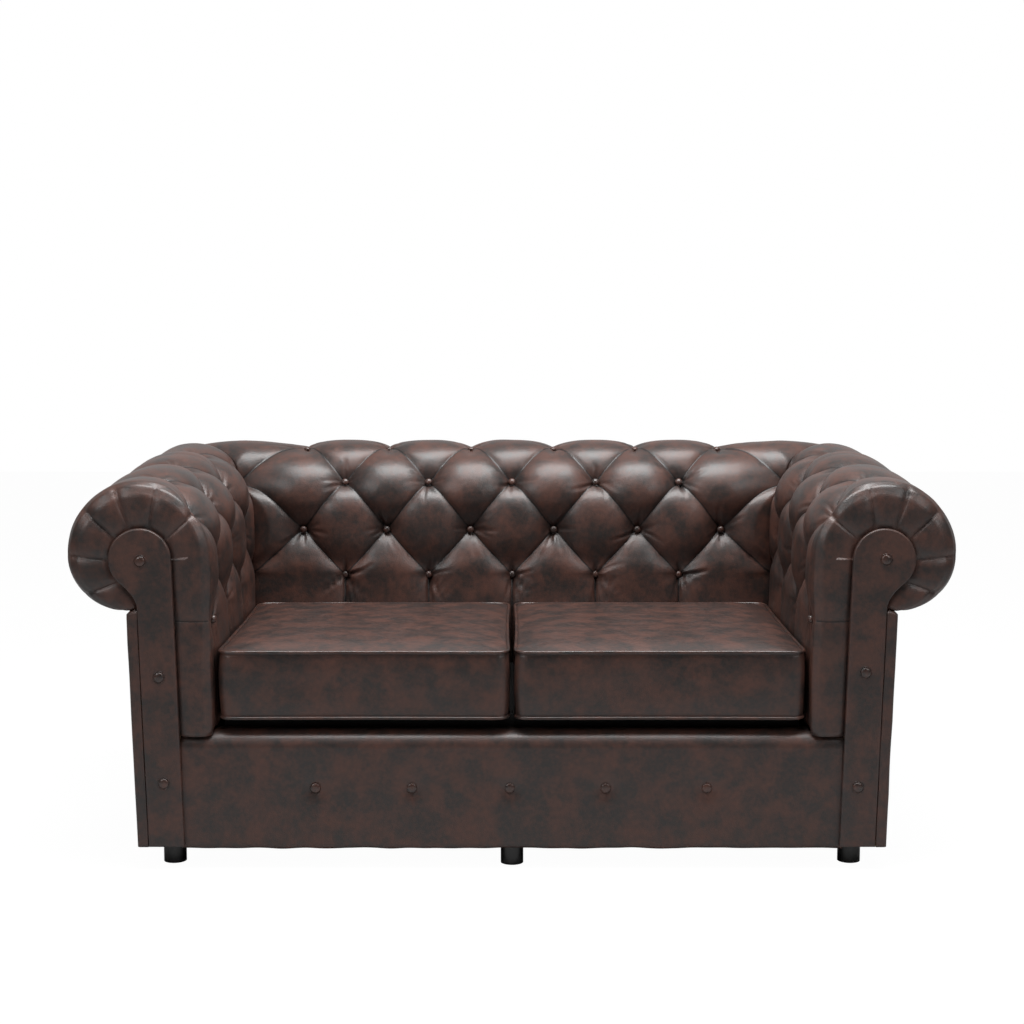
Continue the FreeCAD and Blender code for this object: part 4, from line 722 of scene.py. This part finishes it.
def join_buttons(name, buttons):
    """One piece of separate buttons, in button leather and fixed to the frame."""
    for button in buttons:
        button.select_set(True)
    bpy.ops.object.join()
    group = bpy.context.object
    bpy.ops.object.transform_apply(location=True, rotation=True, scale=True)
    bpy.ops.object.shade_smooth()
    group.name = name
    group.data.materials.append(button_leather)
    bpy.ops.object.select_all(action="DESELECT")
    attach(group, "frame")
    return group


def domed_buttons(name, places):
    """Domed buttons at places, each pressed against the leather along its own direction."""
    made = []
    for place, outward in places:
        bpy.ops.mesh.primitive_uv_sphere_add(segments=28, ring_count=14, radius=1)
        button = bpy.context.object
        button.scale = (button_radius, button_radius, button_dome)
        button.rotation_euler = Vector(outward).to_track_quat("Z", "Y").to_euler()
        button.location = Vector(place) + Vector(outward).normalized() * button_stand
        made.append(button)
    return join_buttons(name, made)


back_buttons = []
for level, offset, sink in button_rows:
    out, height, turn = pad_spot(button_reach[level][1], back_roll_height, sink)
    for along, _ in back_row(offset, button_reach[level][1]):
        place = (along, seat_back_y + out, height)
        back_buttons.append((place, (0, -math.cos(turn), math.sin(turn))))
    if level == "upper":
        for side in (-1, 1):
            corner = (side * (seat_half + out + corner_ease), seat_back_y + out - corner_ease, height)
            towards_seat = (-side * math.cos(turn), -math.cos(turn), math.sin(turn))
            back_buttons.append((corner, towards_seat))
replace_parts(domed_buttons("back_button_set", back_buttons), "back_buttons")

for name, side in (("left", -1), ("right", 1)):
    arm_buttons = []
    for level, offset, sink in button_rows:
        for number in range(3):
            depth = first_column + (number + offset) * arm_pitch
            part = (depth - first_column) / (seat_depth - first_column)
            start, end = button_reach[level]
            first = number + offset == 0
            fade = front_fades[level] if first else 1.0
            reach, middle = start + (end - start) * part, float(arm_middle(depth))
            out, height, turn = pad_spot(reach, middle, sink * fade)
            place = (side * (seat_half + out), front_y + depth, height)
            forward = -front_button_turn if first else 0
            arm_buttons.append((place, (-side * math.cos(turn), forward, math.sin(turn))))
    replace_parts(domed_buttons(f"arm_button_set_{name}", arm_buttons), f"arm_buttons_{name}")

# Front facings: boards padded and covered in leather, nailed over the ends of the arms. A round head
# stands on a strip that leans in a little, and the covered buttons hide its nails.
facing_leather = leather("facing_leather", mottle=20, grain=0.35, creases=0.06, roughness=0.42)
facing_front = front_y + 0.0045
facing_back = front_y + 0.016
edge_round = 0.0035
head_steps = 48
neck_steps = 12


def facing_outline(side):
    """The outline of a facing, from its foot up the inner side, round the head and down again."""
    outline = [(facing_inner(facing_foot), facing_foot)]
    for step in range(head_steps + 1):
        turn = (math.pi + neck_turn) * step / head_steps
        x = facing_head[0] - facing_radius * math.cos(turn)
        outline.append((x, facing_head[1] + facing_radius * math.sin(turn)))
    outline += [facing_neck_line(step / neck_steps) for step in range(1, neck_steps + 1)]
    outline.append((facing_inner(facing_foot) + facing_width, facing_foot))
    return [(side * x, z) for x, z in outline]


for name, side in (("left", -1), ("right", 1)):
    outline = facing_outline(side)
    flat = bpy.data.curves.new(f"facing_outline_{name}", "CURVE")
    flat.dimensions = "2D"
    flat.fill_mode = "BOTH"
    line = flat.splines.new("POLY")
    line.points.add(len(outline) - 1)
    for point, (x, z) in zip(line.points, outline):
        point.co = (x, z, 0, 1)
    line.use_cyclic_u = True
    flat.extrude = (facing_back - facing_front) / 2 - edge_round
    flat.bevel_depth = edge_round
    flat.bevel_resolution = 4
    flat.offset = -edge_round
    facing = bpy.data.objects.new(f"front_facing_{name}", flat)
    bpy.context.scene.collection.objects.link(facing)
    facing.rotation_euler = (math.radians(90), 0, 0)
    facing.location = (0, (facing_front + facing_back) / 2, 0)
    facing.select_set(True)
    bpy.context.view_layer.objects.active = facing
    bpy.ops.object.convert(target="MESH")
    bpy.ops.object.transform_apply(location=True, rotation=True, scale=True)
    bpy.ops.object.shade_smooth_by_angle(angle=math.radians(35))
    facing.data.materials.append(facing_leather)
    bpy.ops.object.select_all(action="DESELECT")
    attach(facing, "frame")
    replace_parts(facing, f"arm_facing_{name}")

# Flat covered buttons on the facings and the front rail: a leather disc held by a raised ring, with a
# dark groove between them.
disc_profile = (
    (0.0115, 0.0),
    (0.0115, 0.0009),
    (0.0111, 0.0013),
    (0.0106, 0.0008),
    (0.0104, -0.0012),
    (0.0091, -0.0012),
    (0.0089, 0.0016),
    (0.0081, 0.0029),
    (0.005, 0.0036),
    (0.0025, 0.0039),
    (0.0, 0.004),
)
facing_spots = {
    "left": ((-0.6715, 0.573), (-0.6417, 0.36), (-0.6366, 0.163)),
    "right": ((0.6755, 0.576), (0.6426, 0.369), (0.6324, 0.156)),
}
rail_spots = ((-0.361, 0.151), (-0.184, 0.151), (-0.004, 0.151), (0.172, 0.151), (0.358, 0.151))
facing_disc_back = facing_front + 0.0004
rail_front = front_y + 0.016
rail_disc_back = rail_front + 0.0035


def flat_buttons(name, places, base):
    """Covered buttons that face forwards, their backs at a depth."""
    made = []
    top = len(disc_profile) - 1
    for x, z in places:
        bpy.ops.mesh.primitive_uv_sphere_add(segments=40, ring_count=2 * top, radius=1)
        button = bpy.context.object
        for vertex in button.data.vertices:
            turn = math.atan2(vertex.co.y, vertex.co.x)
            ring = round((1 - math.acos(max(-1, min(1, vertex.co.z))) / math.pi) * 2 * top)
            radius, height = disc_profile[max(0, ring - top)]
            if ring < top:
                radius *= ring / top
            vertex.co = (radius * math.cos(turn), radius * math.sin(turn), height)
        button.rotation_euler = (math.radians(90), 0, 0)
        button.location = (x, base, z)
        made.append(button)
    return join_buttons(name, made)


for name, spots in facing_spots.items():
    group = flat_buttons(f"facing_button_set_{name}", spots, facing_disc_back)
    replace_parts(group, f"facing_buttons_{name}")
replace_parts(flat_buttons("rail_button_set", rail_spots, rail_disc_back), "front_rail_buttons")

# Front rail: leather over thin padding, stapled under the frame, rolled over the rail's upper edge and
# drawn in round its buttons.
rail_leather = leather("rail_leather", mottle=20, grain=0.35, creases=0.07, roughness=0.42)
rail_half = 0.6075
rail_foot = 0.0405
rail_top = 0.252
rail_round = 0.026
rail_tuck, rail_edge = 0.012, 0.004
rail_step, rail_top_step = 0.003, 0.0035
rail_dents = ((0.0055, 0.017), (0.0016, 0.05))
rail_folds = ((-1.45, 0.034), (-2.2, 0.022), (-0.7, 0.02), (1.6, 0.016))
rail_fold_deep, rail_fold_wide, rail_fold_rim = 0.0011, 0.005, 1.5
rail_fold_start, rail_foot_blend = 0.01, 0.01
rail_swell, rail_foot_swell = (0.11, 0.0013), (0.05, 0.0022)
profile = [(rail_front + rail_tuck, rail_foot + rail_step), (rail_front + rail_edge, rail_foot)]
profile += [(rail_front, rail_foot + rail_edge + rail_step * step) for step in range(64)]
profile = [spot for spot in profile if spot[1] < rail_top - rail_round - 0.001]
for step in range(9):
    turn = math.radians(90) * step / 8
    round_y = rail_front + rail_round * (1 - math.cos(turn))
    profile.append((round_y, rail_top - rail_round * (1 - math.sin(turn))))
profile += [(rail_front + rail_round + rail_top_step * step, rail_top) for step in range(1, 9)]
columns = np.linspace(-rail_half, rail_half, 321)
rail_points = np.zeros((len(columns), len(profile), 3))
rail_points[..., 0] = columns[:, None]
rail_points[..., 1] = np.array(profile)[None, :, 0]
rail_points[..., 2] = np.array(profile)[None, :, 1]
upright = np.clip((rail_points[..., 2] - rail_foot) / rail_foot_blend, 0, 1)
dents = np.zeros_like(rail_points[..., 0])
for x, z in rail_spots:
    right, up = rail_points[..., 0] - x, rail_points[..., 2] - z
    away = np.hypot(right, up)
    dents += sum(deep * np.exp(-((away / wide) ** 2)) for deep, wide in rail_dents)
    for lean, length in rail_folds:
        along = right * math.cos(lean) + up * math.sin(lean)
        aside = -right * math.sin(lean) + up * math.cos(lean)
        ridge = smooth_step(along / rail_fold_start) * (1 - smooth_step(along / length))
        dents += valley(rail_fold_deep * ridge, aside, rail_fold_wide, rail_fold_rim)
rail_points[..., 1] += dents * (rail_points[..., 1] < rail_front + 0.001)
rail_points[..., 1] += uneven(rail_points, *rail_swell) * upright
rail_points[..., 2] += uneven(rail_points + 5, *rail_foot_swell) * (1 - upright)
rail_cover = leather_grid("front_rail_leather", rail_points[::-1], rail_leather)
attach(rail_cover, "frame")
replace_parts(rail_cover, "front_rail_cover")

# Outer arm panels: leather over hardboard, wrapped round the front corner into a strip beside the
# facing and stapled under the frame.
panel_leather = leather("panel_leather", mottle=18, grain=0.35, creases=0.06, roughness=0.42)
panel_foot = 0.043
panel_front = front_y + 0.006
panel_half, panel_splay, panel_height = 0.688, 0.012, 0.419
panel_lap = 0.005
panel_tuck, tuck_from, tuck_span = 0.009, 0.985, 0.015
panel_swell = (0.14, 0.0014)
corner_round = 0.006
facing_gap = 0.001
panel_rows = 70
panel_columns = [("strip", step / 6) for step in range(7)]
panel_columns += [("corner", step / 8) for step in range(1, 9)]
panel_columns += [("side", step / 120) for step in range(1, 121)]


def panel_spot(stretch, part, level, panel_rear):
    """A place on a panel: part of the way along its strip, corner or side, and level up it."""
    deep = 0.0
    if stretch == "side":
        deep = corner_round + (panel_rear - panel_front - corner_round) * part
    top_front, top_rear = arm_roll_height - lip, back_roll_height - lip
    top = top_front + (top_rear - top_front) * min(1, deep / seat_depth)
    z = panel_foot + (top + panel_lap - panel_foot) * level
    tucked = panel_tuck * max(0, level - tuck_from) / tuck_span
    outer = panel_half + panel_splay * (z - panel_foot) / panel_height - tucked
    if stretch == "strip":
        inner = facing_inner(min(z, facing_neck)) + facing_width + facing_gap
        return inner + (outer - corner_round - inner) * part, panel_front, z
    if stretch == "corner":
        turn = math.radians(90) * part
        x = outer - corner_round * (1 - math.sin(turn))
        return x, panel_front + corner_round * (1 - math.cos(turn)), z
    return outer, panel_front + deep, z


for name, side in (("left", -1), ("right", 1)):
    panel_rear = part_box(f"arm_outer_panel_{name}")[1].y
    levels = np.linspace(0, 1, panel_rows)
    panel_points = np.array(
        [[panel_spot(*column, level, panel_rear) for level in levels] for column in panel_columns]
    )
    panel_points[..., 0] *= side
    panel_points[..., 0] -= side * np.abs(uneven(panel_points, *panel_swell))
    turned = panel_points if side < 0 else panel_points[::-1]
    panel = leather_grid(f"outer_arm_leather_{name}", turned[::-1], panel_leather, thickness=0.004)
    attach(panel, "frame")
    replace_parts(panel, f"arm_outer_panel_{name}")

# Seat cushions: loose box cushions of leather over a foam core wrapped in wadding, crowned on top, with
# a piped welt round the upper and the lower seam.
cushion_leather = leather("cushion_leather", mottle=19, stretch=(0.35, 1.6, 1), grain=0.35, creases=0.05)
piping_leather = leather("piping_leather", mottle=30, grain=0.1, creases=0.0, roughness=0.3)
cushion_inner, cushion_outer = 0.0055, 0.5368
cushion_front, cushion_rear = front_y + 0.018, front_y + 0.5868
seam_low, seam_high = 0.2796, 0.403
seam_inset = 0.0015
side_pull = 0.003
cushion_crown = 0.013
cushion_corner = 0.024
side_bulge, bulge_limit = 0.0042, 0.0046
stitch_levels, stitch_deep, stitch_wide = (seam_high - 0.0058, seam_low + 0.0062), 0.0008, 0.0016

# Waves in the padding, by their number to a metre, and puckers that die away from the seams.
crown_flatness, side_flatness = 8, 2.4
top_waves = ((6, 22, 0, 0.0006), (14, 60, 3, 0.00025), (5, 5, 7, 0.0018))
pucker_waves, pucker_deep, pucker_strength = 55, 0.0016, 1.6
pucker_run, pucker_edge = 0.22, 0.3
side_waves, side_waves_up, side_deep = 9, 14, 0.0024
seam_draw, bottom_lift = 0.0002, 0.0002

cushion_cuts = 79
edge_near = 0.9999
corner_near = 0.93
piping_radius = 0.0031
welt_levels = (seam_high, seam_low + piping_radius - 0.0018)
welt_steps = 240
welt_out = 0.0012
welt_waves, welt_wave_deep = 12, 0.0008
half_x = (cushion_outer - cushion_inner) / 2 - seam_inset
half_y = (cushion_rear - cushion_front) / 2 - seam_inset
middle_y = (cushion_front + cushion_rear) / 2


def plan(a, b, grow=0.0):
    """A place on a cushion's rounded outline, in the direction of a place on a square."""
    ring = max(abs(a), abs(b), 1e-6)
    x, y = a / ring * half_x, b / ring * half_y
    hold_x = max(-half_x + cushion_corner, min(half_x - cushion_corner, x))
    hold_y = max(-half_y + cushion_corner, min(half_y - cushion_corner, y))
    away = Vector((x - hold_x, y - hold_y)).normalized()
    place = Vector((hold_x, hold_y)) + away * (cushion_corner + grow)
    along_front = abs(x) / half_x if abs(y) > half_y * 0.999 else 0
    along_side = abs(y) / half_y if abs(x) > half_x * 0.999 else 0
    return (place - away * (side_pull * (1 - max(along_front, along_side) ** 2))) * ring


def cushion_top(a, b, x, y, seed):
    """How far a cushion's top stands above its seam, crowned and a little creased."""
    swell = (1 - a**crown_flatness) * (1 - b**crown_flatness)
    rough = 0
    for across, along, shift, deep in top_waves:
        rough += noise.noise(Vector((x * across, y * along, seed + shift))) * deep
    return cushion_crown * swell + rough * min(1, swell * 4)


def cushion_side(c, x, y, z, seed):
    """How far a cushion's side stands out of its plan, with puckers at the seams and two stitch lines."""
    flat = 1 - abs(c) ** side_flatness
    seam_near = 1 - abs(c)
    pucker = noise.noise(Vector((x * pucker_waves, y * pucker_waves, seed))) * pucker_deep
    pucker *= math.exp(-seam_near / pucker_run) * seam_near**pucker_edge * pucker_strength
    slow = noise.noise(Vector((x * side_waves, y * side_waves, z * side_waves_up + seed))) * side_deep
    grow = side_bulge * flat + (pucker + slow) * flat - seam_draw * (1 - flat)
    for stitches in stitch_levels:
        grow -= stitch_deep * math.exp(-(((z - stitches) / stitch_wide) ** 2))
    return min(grow, bulge_limit)


def cushion_outward(a, b, spot):
    """The level direction outwards from a cushion's side or corner."""
    if abs(a) > corner_near and abs(b) > corner_near:
        return spot.normalized()
    if abs(a) >= edge_near:
        return Vector((math.copysign(1, a), 0))
    return Vector((0, math.copysign(1, b)))


for name, side, seed in (("left", -1, 4), ("right", 1, 9)):
    middle_x = side * (cushion_outer + cushion_inner) / 2
    bpy.ops.mesh.primitive_cube_add(size=2)
    cushion = bpy.context.object
    cushion.name = f"seat_cushion_leather_{name}"
    bpy.ops.object.mode_set(mode="EDIT")
    bpy.ops.mesh.subdivide(number_cuts=cushion_cuts)
    bpy.ops.object.mode_set(mode="OBJECT")
    for vertex in cushion.data.vertices:
        a, b, c = vertex.co
        spot = plan(a, b)
        x, y = middle_x + spot.x, middle_y + spot.y
        z = seam_low + (seam_high - seam_low) * (c + 1) / 2
        if abs(a) >= edge_near or abs(b) >= edge_near:
            outward = cushion_outward(a, b, spot)
            grow = cushion_side(c, x, y, z, seed)
            x, y = x + outward.x * grow, y + outward.y * grow
        elif c > 0:
            z += cushion_top(a, b, x, y, seed)
        else:
            z = seam_low + bottom_lift
        vertex.co = (x, y, z)
    bpy.ops.object.shade_smooth()
    cushion.data.materials.append(cushion_leather)
    bpy.ops.object.select_all(action="DESELECT")
    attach(cushion, f"seat_cushion_{name}")
    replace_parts(cushion, f"seat_cushion_cover_{name}")

    welts = []
    for seam in welt_levels:
        cord = bpy.data.curves.new(f"welt_{name}", "CURVE")
        cord.dimensions = "3D"
        line = cord.splines.new("POLY")
        line.points.add(welt_steps - 1)
        for step, point in enumerate(line.points):
            turn = 2 * math.pi * step / welt_steps
            long_side = max(abs(math.cos(turn)), abs(math.sin(turn)))
            spot = plan(math.cos(turn) / long_side, math.sin(turn) / long_side, welt_out)
            wave = noise.noise(Vector((spot.x * welt_waves, spot.y * welt_waves, seed))) * welt_wave_deep
            level = seam + wave * (seam == seam_high)
            point.co = (middle_x + spot.x, middle_y + spot.y, level, 1)
        line.use_cyclic_u = True
        cord.bevel_depth = piping_radius
        cord.bevel_resolution = 3
        welt = bpy.data.objects.new(f"welt_{name}", cord)
        bpy.context.scene.collection.objects.link(welt)
        welts.append(welt)
    for welt in welts:
        welt.select_set(True)
    bpy.context.view_layer.objects.active = welts[0]
    bpy.ops.object.convert(target="MESH")
    bpy.ops.object.join()
    piping = bpy.context.object
    piping.name = f"cushion_welts_{name}"
    bpy.ops.object.shade_smooth()
    piping.data.materials.append(piping_leather)
    bpy.ops.object.select_all(action="DESELECT")
    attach(piping, f"seat_cushion_{name}")
    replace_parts(piping, f"cushion_piping_{name}")

# Inside and underside: sawn rails, plywood ribs, bent fibreboard, foam, webbing, black cloth, plastic
# feet and steel studs. They keep the forms of the frame and get their own finishes.
even = (1, 1, 1)
finish_bump, finish_bump_deep = 0.4, 0.0004


def two_tone_group():
    """Two colours mixed by a stretched noise, with a height that follows it."""
    inputs = {"Light": "Color", "Dark": "Color", "Stretch": "Vector", "Scale": "Float"}
    group = surface_group("two_tone", inputs, {"Color": "Color", "Height": "Float"})
    given = add_node(group, "NodeGroupInput").outputs
    place = add_node(group, "ShaderNodeTexCoord").outputs["Object"]
    stretched = stretch_place(group, place, given["Stretch"])
    values = {"Vector": stretched, "Scale": given["Scale"], "Detail": 6}
    grain = add_node(group, "ShaderNodeTexNoise", values).outputs["Fac"]
    tones = {"Factor": grain, 6: given["Dark"], 7: given["Light"]}
    colour = add_node(group, "ShaderNodeMix", tones, data_type="RGBA").outputs[2]
    add_node(group, "NodeGroupOutput", {"Color": colour, "Height": grain})
    return group


two_tone = two_tone_group()


def finish(name, light, dark, stretch, scale, roughness, metallic=0.0):
    """A plain finish of two tones for the pieces of the frame."""
    material = bpy.data.materials.new(name)
    material.use_nodes = True
    tree = material.node_tree
    values = {"Light": (*light, 1), "Dark": (*dark, 1), "Stretch": stretch, "Scale": scale}
    tones = add_node(tree, "ShaderNodeGroup", values, node_tree=two_tone).outputs
    relief = {"Strength": finish_bump, "Distance": finish_bump_deep, "Height": tones["Height"]}
    bump = add_node(tree, "ShaderNodeBump", relief)
    set_inputs(
        tree,
        tree.nodes["Principled BSDF"],
        {
            "Base Color": tones["Color"],
            "Roughness": roughness,
            "Metallic": metallic,
            "Normal": bump.outputs["Normal"],
        },
    )
    return material


dressing = {
    "frame_wood": finish("sawn_pine", (0.62, 0.42, 0.22), (0.42, 0.24, 0.11), (1, 12, 12), 6, 0.7),
    "plywood": finish("birch_plywood", (0.66, 0.5, 0.3), (0.5, 0.34, 0.18), (3, 3, 40), 8, 0.65),
    "fibreboard": finish("hard_fibreboard", (0.3, 0.19, 0.1), (0.2, 0.12, 0.06), even, 90, 0.75),
    "foam": finish("seat_foam", (0.75, 0.7, 0.55), (0.62, 0.56, 0.4), even, 160, 0.9),
    "deck_cloth": finish("deck_cloth", (0.03, 0.028, 0.027), (0.012, 0.011, 0.011), even, 300, 0.9),
    "webbing": finish("strap_weave", (0.2, 0.18, 0.15), (0.1, 0.09, 0.08), even, 400, 0.85),
    "black_cloth": finish("black_lining", (0.02, 0.02, 0.021), (0.009, 0.009, 0.01), even, 350, 0.92),
    "foot_plastic": finish("foot_plastic", (0.014, 0.013, 0.013), (0.009, 0.009, 0.009), even, 40, 0.3),
    "screw_steel": finish("stud_steel", (0.5,) * 3, (0.4,) * 3, (1, 1, 30), 60, 0.35, metallic=1.0),
    "leather": panel_leather,
    "piping_leather": piping_leather,
    "button_leather": button_leather,
}
for part in frame["record"]["subparts"]:
    node = frame["nodes"][part["node"]]
    node.data.materials.clear()
    node.data.materials.append(dressing[part["material_slot"]])
